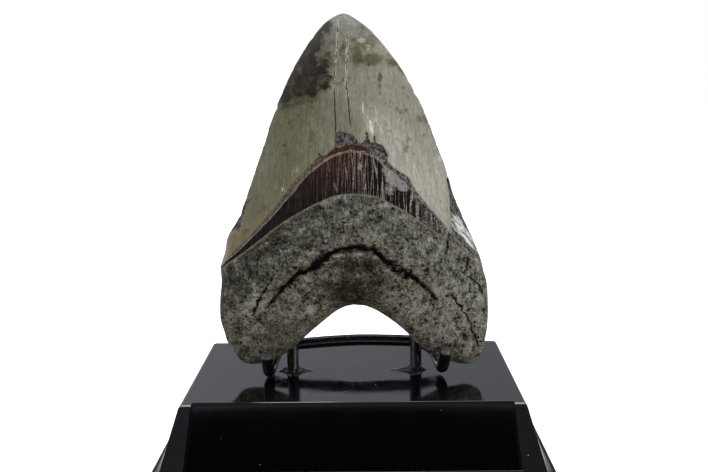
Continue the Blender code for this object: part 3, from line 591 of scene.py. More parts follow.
def enamel_finish(tree, fields, settings):
    """Fossil enamel: dense, worn to satin, with growth lines that run from root to tip."""
    spot = fields["spot"]
    across = fields["across_value"]
    up = fields["up_value"]
    broad = noise(tree, spot, 0.045, 3.0)
    lines = drawn_noise(tree, spot, (0.9, 0.03, 0.9), 5.0, 0.7)
    fine = drawn_noise(tree, spot, (3.4, 0.16, 3.4), 3.0, 0.75)
    patch = noise(tree, spot, 0.22, 5.0, 0.7)
    ragged = around_zero(tree, patch)

    # Enamel darker to the left and lighter to the right: partly the fossil's own tone, partly painted shade
    # for the light that falls from the right.
    side = even_range(tree, across, -26.0, 22.0)
    drift = around_zero(tree, broad)
    side = multiply_add(tree, drift, 1.3, side, use_clamp=True)
    colour = blend(tree, side, settings.enamel_tone_and_painted_shade, settings.enamel)
    tip = soft_range(tree, up, 126.0, 140.0, at_high=0.8)
    colour = blend(tree, tip, colour, "#75746d")
    low = soft_range(tree, fields["enamel_value"], 9.0, 0.0)
    low = ragged_share(tree, ragged, 1.5, low, 0.3, 1.2, at_high=0.7)
    foot = soft_range(tree, up, 70.0, 50.0, at_low=0.18)
    low = multiply(tree, low, foot)
    colour = blend(tree, low, colour, "#6b5a3f")
    # Paler enamel low on the right of the crown, in the mask named worn: painted highlight, a broad sheen
    # where the light from the right falls.
    worn = soft_range(tree, fields["enamel_value"], 17.0, 2.0)
    for low_side, high_side in ((-2.0, 12.0), (44.0, 34.0)):
        part = soft_range(tree, across, low_side, high_side)
        worn = multiply(tree, worn, part)
    worn = multiply(tree, worn, 0.4)
    colour = blend(tree, worn, colour, "#a29f95")
    for noise_value, dark, light in ((lines, 0.74, 1.26), (fine, 0.7, 1.28), (patch, 0.86, 1.12)):
        shade = even_range(tree, noise_value, 0.32, 0.68, dark, light)
        colour = shaded(tree, colour, shade)

    mottle = ragged_share(tree, ragged, 2.4, fields["mottle_value"], 0.25, 0.95, at_high=0.85)
    colour = blend(tree, mottle, colour, "#413a22")
    stain = ragged_share(tree, ragged, 2.6, fields["stain_value"], 0.1, 0.85, at_high=0.97)
    deep = soft_range(tree, patch, 0.38, 0.62)
    brown = blend(tree, deep, "#2a2014", "#0c0703")
    colour = blend(tree, stain, colour, brown)
    pale = ragged_share(tree, ragged, 3.4, fields["pale_value"], 0.5, 1.1, at_high=0.7)
    kept = soft_range(tree, fields["pale_value"], 0.05, 0.4)
    pale = multiply(tree, pale, kept)
    colour = blend(tree, pale, colour, "#a7a188")
    # Pale flecks and streaks: partly scratches, partly painted highlight.
    fleck = drawn_noise(tree, spot, (2.2, 0.32, 2.2), 3.0, 0.6)
    white = multiply(tree, fields["white_value"], 0.2)
    white = ragged_share(tree, fleck, 0.36, white, 0.31, 0.42, at_high=0.8)
    colour = blend(tree, white, colour, "#d3cebd")

    height = multiply(tree, lines, 0.1)
    height = multiply_add(tree, fine, 0.04, height)
    colour, height = crown_cracks(tree, fields, colour, height)
    roughness = even_range(tree, patch, 0.3, 0.7, 0.36, 0.52)
    return colour, roughness, height


def crown_cracks(tree, fields, colour, height):
    """Two cracks that run down from the tip, black inside, with pale flakes broken off beside them."""
    up = fields["up_value"]
    wander = drawn_noise(tree, fields["spot"], (0.0, 0.14, 0.0), 4.0, 0.65)
    flake = drawn_noise(tree, fields["spot"], (1.6, 0.42, 1.0), 3.0, 0.7)
    gape = drawn_noise(tree, fields["spot"], (0.0, 0.5, 0.0), 3.0, 0.7)
    centred = around_zero(tree, wander)
    flaked = soft_range(tree, up, 103.0, 108.0)
    depth = soft_range(tree, up, 118.0, 106.0, at_low=0.6)
    for name, low, high in (("first_value", 88.5, 141.0), ("second_value", 92.0, 134.0)):
        offset = multiply_add(tree, centred, 1.0, fields[name])
        gap = calculate(tree, "ABSOLUTE", offset)
        start = even_range(tree, up, low, low + 3.0)
        end = even_range(tree, up, high, high - 4.0)
        length = multiply(tree, start, end)
        length = multiply(tree, length, fields["front_value"])
        beside = soft_range(tree, gap, 0.6, 0.25)
        broken = soft_range(tree, flake, 0.48, 0.58, at_high=0.85)
        for part in (broken, flaked, length):
            beside = multiply(tree, beside, part)
        colour = blend(tree, beside, colour, "#c9c5b6")
        wide = even_range(tree, gape, 0.35, 0.7, 0.16, 0.46)
        line = calculate(tree, "DIVIDE", gap, wide)
        line = soft_range(tree, line, 1.0, 0.4)
        for part in (depth, length):
            line = multiply(tree, line, part)
        colour = blend(tree, line, colour, "#15130f")
        height = multiply_add(tree, line, -0.2, height)
    return colour, height


def dentine_finish(tree, fields):
    """Bare dentine where the enamel has broken away: dark and dull, and silvery where it flaked."""
    streak = drawn_noise(tree, fields["spot"], (1.6, 0.3, 1.0), 4.0, 0.75)
    spots = noise(tree, fields["spot"], 0.8, 4.0, 0.7)
    tone = calculate(tree, "ADD", streak, spots)
    tone = even_range(tree, tone, 0.9, 1.12)
    colour = blend(tree, tone, "#0d0c0b", "#5a5956")
    slant_at = add(tree, "Mapping", {"Vector": fields["spot"], "Rotation": (0.0, 0.0, math.radians(42.0))})
    slant = drawn_noise(tree, slant_at, (0.16, 1.2, 0.3), 4.0, 0.7)
    silver = soft_range(tree, slant, 0.4, 0.56)
    area = soft_range(tree, fields["silver_value"], 0.15, 0.6)
    silver = multiply(tree, silver, area)
    colour = blend(tree, silver, colour, "#c3c2bb")
    roughness = even_range(tree, spots, 0.3, 0.7, 0.6, 0.85)
    height = multiply(tree, streak, 0.35)
    return colour, roughness, height


def rim_finish(tree, fields):
    """Thin layers of enamel that end one after the other along the bourlette's upper edge."""
    wobble = noise(tree, fields["spot"], 0.5, 4.0)
    centred = around_zero(tree, wobble)
    gap = multiply_add(tree, centred, 1.6, fields["bourlette_value"])
    wave = multiply_add(tree, gap, 2.4, 1.9)
    wave = calculate(tree, "SINE", wave)
    streak = drawn_noise(tree, fields["spot"], (1.3, 0.55, 1.0), 5.0, 0.78)
    layer = soft_range(tree, wave, 0.78, 0.99)
    worn = soft_range(tree, streak, 0.36, 0.6, 0.1, 0.8)
    layer = multiply(tree, layer, worn)
    right = soft_range(tree, fields["across_value"], 5.0, 9.0)
    crest = soft_range(tree, fields["up_value"], 79.0, 82.0)
    patchy = soft_range(tree, streak, 0.42, 0.64)
    flank = blend(tree, patchy, "#37342b", "#6b6554")
    warm = blend(tree, patchy, "#20130c", "#4d3223")
    dark = blend(tree, crest, flank, warm)
    colour = blend(tree, layer, dark, "#a39984")
    grey = blend(tree, patchy, "#211f21", "#7b7674")
    faint = multiply(tree, layer, 0.6)
    grey = blend(tree, faint, grey, "#b9b2a6")
    colour = blend(tree, right, colour, grey)
    roughness = even_range(tree, streak, 0.3, 0.7, 0.55, 0.75)
    height = multiply(tree, layer, 0.25)
    height = multiply_add(tree, streak, 0.4, height)
    return colour, roughness, height


def bourlette_finish(tree, fields, settings):
    """Bourlette: thin near-black enamel, cracked into upright strips whose edges have worn pale."""
    spot = fields["spot"]
    patch = noise(tree, spot, 0.3, 5.0, 0.75)
    grit = noise(tree, spot, 1.1, 4.0, 0.75)
    warp = noise(tree, spot, 0.35, 3.0, 0.6, output=1)
    bent = add(tree, "VectorMath", {0: warp, 1: (0.7, 0.7, 0.0), 2: spot}, operation="MULTIPLY_ADD")
    strip_at = add(tree, "Mapping", {"Vector": bent, "Scale": (0.78, 0.034, 0.0)})
    strip = add(tree, "TexVoronoi", {"Vector": strip_at, "Scale": 1.0}, feature="DISTANCE_TO_EDGE")
    fibre = drawn_noise(tree, spot, (1.9, 0.2, 0.6), 3.0, 0.7)

    crest = even_range(tree, fields["up_value"], 64.0, 82.0)
    side = even_range(tree, fields["across_value"], 10.0, -4.0)
    crest = multiply(tree, crest, side)
    crest = multiply(tree, crest, fibre)
    colour = blend(tree, crest, settings.bourlette, "#3a1f15")
    mottled = multiply_add(tree, grit, 0.6, fibre)
    tone = even_range(tree, mottled, 0.62, 0.98, 0.3, 2.1)
    colour = shaded(tree, colour, tone)
    right = even_range(tree, fields["across_value"], -20.0, 12.0)
    low = soft_range(tree, fields["across_value"], 18.0, 30.0, at_high=0.34)
    worn = soft_range(tree, fields["silver_value"], 0.1, 0.8, at_high=0.55)
    worn = calculate(tree, "MAXIMUM", worn, low)
    worn = multiply_add(tree, grit, 0.9, worn)
    worn = ragged_share(tree, patch, 0.4, worn, 0.9, 1.26, at_high=0.85)
    colour = blend(tree, worn, colour, "#85817d")
    line = soft_range(tree, strip, 0.06, 0.015)
    strength = soft_range(tree, right, 0.0, 1.0, 0.06, 0.9)
    line = multiply(tree, line, strength)
    broken = soft_range(tree, grit, 0.4, 0.56, at_low=0.25)
    line = multiply(tree, line, broken)
    colour = blend(tree, line, colour, "#978a80")
    inner = ragged_share(tree, grit, 0.8, fields["inner_value"], 0.8, 0.42, at_high=0.6)
    colour = blend(tree, inner, colour, "#a08d79")
    roughness = even_range(tree, patch, 0.3, 0.7, 0.55, 0.75)
    height = multiply(tree, line, 0.12)
    height = multiply_add(tree, fibre, 0.5, height)
    height = multiply_add(tree, grit, 0.3, height)
    return colour, roughness, height


def root_finish(tree, fields, settings):
    """Root: coarse mineralised bone with sand grains and pores, drawn into upright fibres near its top; its
    colour also holds painted shade and light.
    """
    spot = fields["spot"]
    across = fields["across_value"]
    broad = noise(tree, spot, 0.07, 3.0)
    blotch = noise(tree, spot, 0.26, 6.0, 0.78)
    warp = noise(tree, spot, 1.1, 3.0, 0.7, output=1)
    bent = add(tree, "VectorMath", {0: warp, 1: (1.6, 1.6, 1.6), 2: spot}, operation="MULTIPLY_ADD")
    grains = add(tree, "TexVoronoi", {"Vector": bent, "Scale": 1.25})
    tones = add(tree, "SeparateColor", {0: grains.node.outputs["Color"]})
    sand = noise(tree, bent, 1.5, 5.0, 0.85)
    fibre = drawn_noise(tree, bent, (1.5, 0.3, 1.0), 5.0, 0.8)
    upright = soft_range(tree, fields["root_value"], 20.0, 8.0, at_high=0.8)
    texture = blend_values(tree, upright, sand, fibre)

    # Root darker to the left and lighter to the right, more so on the lobes: painted shade and light for the
    # lamp on the right, with random tone.
    side = even_range(tree, across, -46.0, 40.0)
    tone = around_zero(tree, broad)
    tone = multiply_add(tree, tone, 1.4, side, use_clamp=True)
    colour = blend(tree, tone, settings.root_tone_and_painted_shade, settings.root)
    lobe = soft_range(tree, fields["root_value"], 12.0, 19.0, at_high=0.85)
    warm = blend(tree, blotch, "#4d463a", "#6c685c")
    painted_light_gain = even_range(tree, side, 0.0, 1.0, 0.95, 1.35)
    warm = shaded(tree, warm, painted_light_gain)
    colour = blend(tree, lobe, colour, warm)
    brown = ragged_share(tree, blotch, 1.2, fields["brown_value"], 0.7, 1.45, at_high=0.92)
    colour = blend(tree, brown, colour, "#261d14")
    # Strong light and dark in the grain: partly the bone's own mottling, partly painted shade and light of
    # the grain's relief.
    for noise_value, low, high, dark, light in (
            (blotch, 0.36, 0.64, 0.38, 1.72), (texture, 0.38, 0.62, 0.3, 1.9), (tones, 0.0, 1.0, 0.42, 1.62)):
        shade = even_range(tree, noise_value, low, high, dark, light)
        colour = shaded(tree, colour, shade)
    pale = multiply_add(tree, texture, 1.6, fields["pale_value"])
    pale = ragged_share(tree, blotch, 1.6, pale, 1.8, 2.5, at_high=0.85)
    colour = blend(tree, pale, colour, "#a5a396")
    # Pale specks: partly sand grains, partly painted sparkle highlights on the grains.
    light = ragged_share(tree, sand, 0.8, blotch, 0.96, 1.08, at_high=0.75)
    colour = blend(tree, light, colour, "#96948a")
    pore = ragged_share(tree, tones, 0.3, blotch, 0.54, 0.47, at_high=0.9)
    colour = blend(tree, pore, colour, "#0d0c09")
    # Pale rim along the top of the root's ledge: partly the bone's own pale edge, partly painted highlight
    # where the ledge faces the light.
    rim = ragged_share(tree, texture, 4.0, fields["root_value"], 3.1, 2.1)
    aside = calculate(tree, "ABSOLUTE", across)
    aside = soft_range(tree, aside, 4.0, 24.0)
    ledge_tone_and_highlight = blend(tree, aside, "#77756c", "#86755a")
    kept = soft_range(tree, texture, 0.36, 0.54, 0.3, 0.95)
    rim = multiply(tree, rim, kept)
    colour = blend(tree, rim, colour, ledge_tone_and_highlight)
    # Painted shade in the groove, cracks and pits: a wide soft darkening and a black core, from the pit shade
    # stored on the mesh.
    chunk = noise(tree, spot, 0.5, 5.0, 0.8)
    chunk = around_zero(tree, chunk)
    painted_pit_shade = multiply_add(tree, chunk, 2.0, fields["pit_value"])
    soft_pit_shade = soft_range(tree, painted_pit_shade, 0.16, 0.5, at_high=0.72)
    colour = blend(tree, soft_pit_shade, colour, "#171613")
    depth = soft_range(tree, painted_pit_shade, 0.46, 0.62)
    colour = blend(tree, depth, colour, "#040403")
    roughness = even_range(tree, tones, 0.0, 1.0, 0.7, 0.92)
    height = multiply(tree, grains, -0.3)
    height = multiply_add(tree, texture, 1.2, height)
    height = multiply_add(tree, blotch, 1.6, height)
    height = multiply_add(tree, depth, -0.8, height)
    return colour, roughness, height


def make_tooth_material(settings):
    """Phosphate fossil, worn: each zone has its own finish, and they meet along ragged lines."""
    material, tree, surface = new_material("phosphate fossil, satin enamel and grained root", {"IOR": 1.6})
    fields = tooth_fields(tree)
    gloss = even_range(tree, fields["enamel_value"], -0.5, 0.5, 0.05, 0.14)
    tree.links.new(gloss, surface.inputs["Specular IOR Level"])
    wobble = noise(tree, fields["spot"], 0.8, 4.0, 0.7)
    centred = around_zero(tree, wobble)
    layers = [
        (rim_finish(tree, fields), "bourlette_value", -2.7, 1.0),
        (bourlette_finish(tree, fields, settings), "bourlette_value", 0.0, 0.9),
        (enamel_finish(tree, fields, settings), "enamel_value", 0.0, 0.9),
        (root_finish(tree, fields, settings), "root_value", 0.0, 1.3),
    ]
    colour, roughness, height = dentine_finish(tree, fields)
    for finish, gap_name, start, ragged in layers:
        gap = multiply_add(tree, centred, ragged, fields[gap_name])
        mask = soft_range(tree, gap, start - 0.14, start + 0.14)
        colour = blend(tree, mask, colour, finish[0])
        roughness = blend_values(tree, mask, roughness, finish[1])
        height = blend_values(tree, mask, height, finish[2])
    finish_material(tree, surface, colour, roughness, height)
    return material


def make_block_material(settings):
    """Injection moulded ABS, polished black: a mirror-like skin with slight sink marks and dust.

    The coved flare low on the sides is duller, as in the photo, where the polish ends.
    """
    material, tree, surface = new_material("moulded ABS, polished black", {"IOR": 1.54})
    spot = spot_in_mm(tree)
    centre = Vector((*RING_CENTRE, 0.0)) + ORIGIN_SHIFT
    gap = add(tree, "VectorMath", {0: spot, 1: centre}, operation="SUBTRACT")
    gap = add(tree, "VectorMath", {0: gap, 1: (1.0, 1.0, 0.0)}, operation="MULTIPLY")
    radius = add(tree, "VectorMath", {0: gap}, operation="LENGTH")
    outer = soft_range(tree, radius, RING_OUTER - 0.8, RING_OUTER + 0.8, at_high=0.05)
    inner = soft_range(tree, radius, RING_INNER - 0.7, RING_INNER + 0.7, at_high=-0.035)
    sink = noise(tree, spot, 0.05, 2.0)
    orange_peel = noise(tree, spot, 0.6, 2.0)
    height = calculate(tree, "ADD", outer, inner)
    height = multiply_add(tree, sink, 0.12, height)
    height = multiply_add(tree, orange_peel, 0.004, height)

    speck = dust_specks(tree, spot, 0.34, 0.72, 0.085)
    film = noise(tree, spot, 0.12, 5.0, 0.7)
    colour = blend(tree, speck, settings.block, "#8d8d8b")
    roughness = even_range(tree, film, 0.35, 0.75, 0.06, 0.16)
    roughness = blend_values(tree, speck, roughness, 0.8)
    across = add(tree, "SeparateXYZ", {0: spot}, output=0)
    across = calculate(tree, "ABSOLUTE", across)
    rise = add(tree, "SeparateXYZ", {0: spot}, output=2)
    flare = multiply_add(tree, rise, SIDE_LEAN, across)
    straight = TOP_HALF_WIDTH + SIDE_LEAN * BLOCK_HEIGHT
    flare = soft_range(tree, flare, straight + 0.1, straight + 1.0)
    roughness = blend_values(tree, flare, roughness, 0.55)
    gloss = even_range(tree, flare, 0.0, 1.0, 0.5, 0.15)
    tree.links.new(gloss, surface.inputs["Specular IOR Level"])
    finish_material(tree, surface, colour, roughness, height)
    return material


def make_plate_material(settings):
    """Cast acrylic, satin black: even, with hardly any texture, and a little dust."""
    constants = {"IOR": 1.49, "Specular IOR Level": 0.03}
    material, tree, surface = new_material("cast acrylic, satin black", constants)
    spot = spot_in_mm(tree)
    film = noise(tree, spot, 0.1, 5.0, 0.7)
    speck = dust_specks(tree, spot, 0.28, 0.8, 0.06)
    colour = blend(tree, speck, settings.plate, "#5c5c5a")
    roughness = even_range(tree, film, 0.35, 0.75, 0.12, 0.18)
    height = multiply(tree, film, 0.01)
    finish_material(tree, surface, colour, roughness, height)
    return material


def make_rod_material(settings):
    """Mild steel, dipped in black paint: glossy, with slow waves and a few specks in the coat."""
    constants = {"IOR": 1.5, "Specular IOR Level": 0.3}
    material, tree, surface = new_material("painted mild steel, glossy black", constants)
    spot = spot_in_mm(tree)
    wave = noise(tree, spot, 0.35, 3.0)
    speck = noise(tree, spot, 1.8, 2.0)
    worn = soft_range(tree, speck, 0.66, 0.74, at_high=0.5)
    colour = blend(tree, worn, settings.rod, "#4a4845")
    roughness = even_range(tree, wave, 0.3, 0.7, 0.16, 0.36)
    height = multiply(tree, wave, 0.16)
    height = multiply_add(tree, speck, 0.05, height)
    finish_material(tree, surface, colour, roughness, height)
    return material


def make_rod_end_material():
    """Sawn steel under a thin coat: the rod's cut ends are greyer and rougher than its side."""
    material, tree, surface = new_material("painted steel, sawn end", {})
    spot = spot_in_mm(tree)
    saw = drawn_noise(tree, spot, (0.8, 3.2, 3.2), 3.0)
    chip = noise(tree, spot, 1.3, 4.0, 0.8)
    # Pale spots on the cut ends: partly bare steel chips, partly painted glints.
    bare_chip_and_glint = soft_range(tree, chip, 0.58, 0.66)
    colour = blend(tree, bare_chip_and_glint, "#101113", "#7d7f83")
    roughness = even_range(tree, chip, 0.3, 0.7, 0.3, 0.55)
    height = multiply(tree, saw, 0.2)
    finish_material(tree, surface, colour, roughness, height)
    return material


def make_glue_material(settings):
    """Set cyanoacrylate, run out thin: glassy and dark over the block, whitish where it bloomed."""
    material, tree, surface = new_material("set cyanoacrylate, glassy", {"IOR": 1.46})
    spot = spot_in_mm(tree)
    ripple = noise(tree, spot, 0.7, 3.0)
    bloom = noise(tree, spot, 1.1, 4.0, 0.7)
    bloom = soft_range(tree, bloom, 0.6, 0.72, at_high=0.5)
    colour = blend(tree, bloom, settings.glue, "#6a6d70")
    roughness = even_range(tree, bloom, 0.0, 1.0, 0.08, 0.45)
    height = multiply(tree, ripple, 0.5)
    finish_material(tree, surface, colour, roughness, height)
    return material


# Tooth

class ToothShape:
    """The tooth as points in the plane of its edges, each with a front or back height."""

    def __init__(self):
        self.left = smooth_line(LEFT_EDGE)
        self.right = smooth_line(RIGHT_EDGE)
        outline = [self.left, smooth_line(LEFT_ARCH)[::-1], smooth_line(RIGHT_ARCH), self.right[::-1]]
        self.outline = np.vstack(outline)
        self.front_line = smooth_line(FRONT_PROFILE)
        self.back_line = smooth_line(BACK_PROFILE)

    def middle_and_half(self, points):
        """The middle of the tooth at each point's level, and half of its width there."""
        level = points[:, 1]
        left = np.interp(level, self.left[::-1, 1], self.left[::-1, 0])
        right = np.interp(level, self.right[::-1, 1], self.right[::-1, 0])
        return (left + right) / 2.0, np.maximum((right - left) / 2.0, 0.5)

    def envelope(self, points, edge, line):
        """Height of one face over the plane of the edges, before its relief."""
        level = points[:, 1]
        crown = smoothstep(level, ROOT_EDGE_FROM, CROWN_EDGE_FROM)
        middle, half = self.middle_and_half(points)
        side = np.clip(np.abs(points[:, 0] - middle) / half, 0.0, 1.0)
        fall = ROOT_SIDE_FALL + (1.0 - ROOT_SIDE_FALL) * crown
        height = np.interp(level, line[:, 0], line[:, 1]) * (1.0 - fall * side ** 2.2)
        reach = ROOT_ROUND + (CROWN_ROUND - ROOT_ROUND) * crown
        inward = 1.0 - np.clip(edge / reach, 0.0, 1.0)
        return height * np.sqrt(1.0 - inward ** 2)

    def worn_edge(self, points, edge):
        """Points with the cutting edges nicked and finely toothed, by moving them inwards."""
        middle, _ = self.middle_and_half(points)
        level = np.stack([points[:, 1], np.where(points[:, 0] > middle, 40.0, -40.0)], axis=1)
        nick = np.clip(soft_noise(level, 2.6, 11), 0.0, 1.0) ** 2 * 0.55
        bite = np.clip(soft_noise(level, 1.1, 12), 0.0, 1.0) * 0.25
        crown = smoothstep(points[:, 1], 38.0, 46.0) * (1.0 - smoothstep(points[:, 1], 134.0, 139.0))
        amount = (nick + bite) * crown * (1.0 - smoothstep(edge, 0.0, 2.2))
        moved = points.copy()
        moved[:, 0] += np.sign(middle - points[:, 0]) * amount
        return moved

    @staticmethod
    def lumps(points):
        """The root's broad lumps, the same as in the solids."""
        u, v = points[:, 0], points[:, 1]
        broad = np.sin(0.31 * u + 1.3) * np.sin(0.27 * v + 0.4)
        fine = np.sin(0.74 * u - 0.22 * v) * np.sin(0.55 * v + 2.1)
        return LUMP * (broad + 0.7 * fine)

    @staticmethod
    def to_world(points, height):
        bend = TIP_BEND * smoothstep(points[:, 1], 70.0, 150.0)
        out = height + bend
        up = np.array([0.0, math.sin(TOOTH_LEAN), math.cos(TOOTH_LEAN)])
        face = np.array([0.0, -math.cos(TOOTH_LEAN), math.sin(TOOTH_LEAN)])
        across = np.array([1.0, 0.0, 0.0])
        local = points[:, :1] * across + points[:, 1:] * up + out[:, None] * face
        return (local + np.array(TOOTH_FOOT + ORIGIN_SHIFT)) * MM


def column_spread(count):
    """Fractions from a side edge to the middle, a little closer together at the edge."""
    t = np.linspace(0.0, 1.0, count + 1)
    return 0.82 * t + 0.18 * t ** 2


def band_rows(top, bottom, left, right, rows, columns):
    """Rows of one band between four curves: top and bottom are pairs of half lines."""
    spread = column_spread(columns)
    result = []
    for t in rows:
        halves = []
        for side, edge in ((0, left), (1, right)):
            high = along(top[side], spread)
            low = along(bottom[side], spread)
            row = (1.0 - t) * high + t * low
            row += (1.0 - spread)[:, None] * (along(edge, [t])[0] - row[0])
            halves.append(row)
        result.append(np.vstack([halves[0], halves[1][-2::-1]]))
    return result


def lobe_rows(top, edge, arch, rows, columns):
    """Rows of one lobe, from the line over the arch down to the lobe's foot."""
    spread = column_spread(columns)
    t_even = np.linspace(0.0, 1.0, columns + 1)
    both = t_even - 0.7 * np.sin(2.0 * math.pi * t_even) / (2.0 * math.pi)
    result = []
    for t in rows:
        at = (1.0 - t) * spread + t * both
        line = (1.0 - t) * along(top, at) + t * edge[-1]
        start = along(edge, [t])[0] - ((1.0 - t) * top[0] + t * edge[-1])
        end = along(arch, [t])[0] - ((1.0 - t) * top[-1] + t * edge[-1])
        result.append(line + (1.0 - at)[:, None] * start + at[:, None] * end)
    return result


def tooth_rows(columns):
    """Rows of points of one face: the body's, the left lobe's and the right lobe's."""
    tip = np.repeat([LEFT_EDGE[0]], 2, axis=0)
    lines = [(tip, tip)]
    for left, right in ((ENAMEL_LEFT, ENAMEL_RIGHT), (SHELF_LEFT, SHELF_RIGHT),
                        (GROOVE_LEFT, GROOVE_RIGHT), (NECK_LEFT, NECK_RIGHT)):
        lines.append((smooth_line(left), smooth_line(right)))
    left_ends = [LEFT_EDGE[0], ENAMEL_LEFT[0], SHELF_LEFT[0], GROOVE_LEFT[0], NECK_LEFT[0]]
    right_ends = [RIGHT_EDGE[0], ENAMEL_RIGHT[0], SHELF_RIGHT[0], GROOVE_RIGHT[0], NECK_RIGHT[0]]
    body = []
    for k, count in enumerate(BAND_ROWS):
        fractions = np.linspace(0.0, 1.0, count + 1)
        if k == 0:
            fractions = fractions ** 1.15
        left = part_of_edge(LEFT_EDGE, left_ends[k], left_ends[k + 1])
        right = part_of_edge(RIGHT_EDGE, right_ends[k], right_ends[k + 1])
        rows = band_rows(lines[k], lines[k + 1], left, right, fractions, columns)
        body += rows if k == 0 else rows[1:]
    lobes = []
    fractions = np.linspace(0.0, 1.0, LOBE_ROW_COUNT + 1)
    for side, edge, start, arch in ((0, LEFT_EDGE, NECK_LEFT[0], LEFT_ARCH),
                                    (1, RIGHT_EDGE, NECK_RIGHT[0], RIGHT_ARCH)):
        outer = part_of_edge(edge, start, edge[-1])
        lobes.append(lobe_rows(lines[-1][side], outer, smooth_line(arch), fractions, columns)[1:])
    return body, lobes[0], lobes[1]


def front_zones(points):
    """Distances into the enamel, bourlette and root on the front, above zero inside each."""
    enamel = -gap_below(points, ENAMEL_LINE)
    corners = ENAMEL_LINE + [(70.0, 37.8), (70.0, 170.0), (-70.0, 170.0), (-70.0, 38.6)]
    enamel = np.where(is_inside(points, corners), 1.0, -1.0) * np.abs(enamel)
    for corners in (ENAMEL_LOST_RIGHT, ENAMEL_LOST_LEFT):
        gap = line_distance(points, corners + corners[:1])
        enamel = np.minimum(enamel, np.where(is_inside(points, corners), -gap, gap))
    bourlette = gap_below(points, smooth_line(BOURLETTE_ARC, 6))
    root = gap_below(points, np.vstack([smooth_line(SHELF_LEFT, 6), smooth_line(SHELF_RIGHT, 6)[::-1]]))
    return enamel, bourlette, root


def front_relief(points, zones):
    """Relief of the front in millimetres, and the painted shade in its groove, cracks and pits."""
    enamel, bourlette, root = zones
    root_part = smoothstep(root, -0.5, 0.3)
    shelf = root_part * (1.0 - smoothstep(root, 7.0, 20.0))
    across = points[:, 0]
    wavy = points + 0.5 * np.stack([soft_noise(points, 1.7, 21), soft_noise(points, 1.7, 22)], axis=1)
    wide = GROOVE_HALF_WIDTH + sum(
        extra * np.exp(-((across - at) / swell) ** 2) for at, swell, extra in GROOVE_SWELLS)
    fade = 1.0 - smoothstep(np.abs(across - 1.4), 26.0, 37.0)
    reach = line_distance(wavy, GROOVE_LINE) / wide
    fade = (0.3 + 0.7 * fade) * (0.8 + 0.2 * soft_noise(points, 2.2, 23))
    groove = np.exp(-reach ** 2) * fade
    # Painted shade round the groove: a narrow dark core and a wide soft darkening.
    shade = (0.6 * np.exp(-reach ** 2) + 0.4 * np.exp(-(reach / 2.6) ** 2)) * fade
    cracks = np.zeros(len(points))
    for line in ROOT_CRACKS:
        cracks = np.maximum(cracks, np.exp(-(line_distance(wavy, line) / CRACK_HALF_WIDTH) ** 2))
    pits = smoothstep(soft_noise(points, 1.9, 24), 0.5, 0.95) * smoothstep(root, 0.5, 4.0)
    flutes = layered_noise(points, FRONT_FLUTES)
    strips = layered_noise(points, BOURLETTE_STRIPS)
    grain = layered_noise(points, FRONT_GRAIN)
    between = (1.0 - smoothstep(enamel, -0.2, 0.2)) * (1.0 - root_part)
    relief = ENAMEL_STEP * smoothstep(enamel, -0.25, 0.25) + SHELF_STEP * shelf
    relief += flutes * smoothstep(enamel, -0.2, 0.4) + strips * between
    relief += root_part * (grain + ToothShape.lumps(points) - FRONT_PIT_DEPTH * pits)
    relief -= GROOVE_DEPTH * groove + CRACK_DEPTH * cracks * root_part
    return relief, np.clip(np.maximum(shade, 0.75 * cracks) + 0.35 * pits, 0.0, 1.0)


def back_zones(points):
    """Distances into the enamel and root on the back, which has no bourlette."""
    root = gap_below(points, smooth_line(BACK_ROOT_LINE, 6))
    return -root - BACK_GAP, np.full(len(points), -FIELD_REACH), root


def back_relief(points, zones):
    """Relief of the back: smooth enamel and a grained root, and the painted shade in the root's pits."""
    root_part = smoothstep(zones[2], -0.4, 0.4)
    grain = layered_noise(points, BACK_GRAIN) + BACK_LUMP_SHARE * ToothShape.lumps(points)
    pits = smoothstep(soft_noise(points, 2.4, 33), 0.5, 0.95) * smoothstep(zones[2], 0.5, 4.0)
    flutes = layered_noise(points, BACK_FLUTES)
    relief = (BACK_STEP + flutes) * (1.0 - root_part) + root_part * (grain - BACK_PIT_DEPTH * pits)
    return relief, 0.35 * pits


def crack_offsets(points):
    """Sideways distance from each of the crown's two cracks."""
    offsets = []
    for crack in CROWN_CRACKS:
        line = smooth_line(crack, 8)[::-1]
        offsets.append(points[:, 0] - np.interp(points[:, 1], line[:, 1], line[:, 0]))
    return offsets


def face_data(shape, group, is_front):
    """World points of one group of rows, and what the tooth's material reads at each of them."""
    points = np.vstack(group)
    edge = line_distance(points, shape.outline)
    zones = front_zones(points) if is_front else back_zones(points)
    relief, pit = front_relief(points, zones) if is_front else back_relief(points, zones)
    height = shape.envelope(points, edge, shape.front_line if is_front else shape.back_line)
    height = height + smoothstep(edge, 0.0, 5.0) * relief
    height = np.where(edge < 0.02, 0.0, height)
    height = height if is_front else -height
    front = smoothstep(height, -0.2, 0.2) if is_front else np.zeros(len(points))
    first, second = crack_offsets(points)
    inner = line_distance(points, smooth_line(INNER_ARC, 6))
    world = shape.to_world(shape.worn_edge(points, edge), height)
    marks = [mark_strength(points, spots) * front for spots in
              (STAINS, MOTTLES, BROWN_AREA, PALE_SPOTS + ROOT_PALE, SILVER_AREA + WORN_AREA, WHITE_SCRATCHES_AND_SHEEN)]
    near = [np.clip(zone, -FIELD_REACH, FIELD_REACH) for zone in zones]
    fields = {
        "spot": (points[:, 0], points[:, 1], height),
        "zone": near,
        "edge_pit_shade_and_inner": (edge, pit, np.clip(inner, 0.0, FIELD_REACH)),
        "crack": (first, second, front),
        "stain": marks[:3],
        "mark": marks[3:],
    }
    return world, {name: np.stack(parts, axis=1) for name, parts in fields.items()}


def add_sheet(faces, upper, lower, is_front):
    """Quads between two rows of point numbers."""
    quads = np.stack([upper[:-1], lower[:-1], lower[1:], upper[1:]], axis=1)
    faces.extend((quads if is_front else quads[:, ::-1]).tolist())


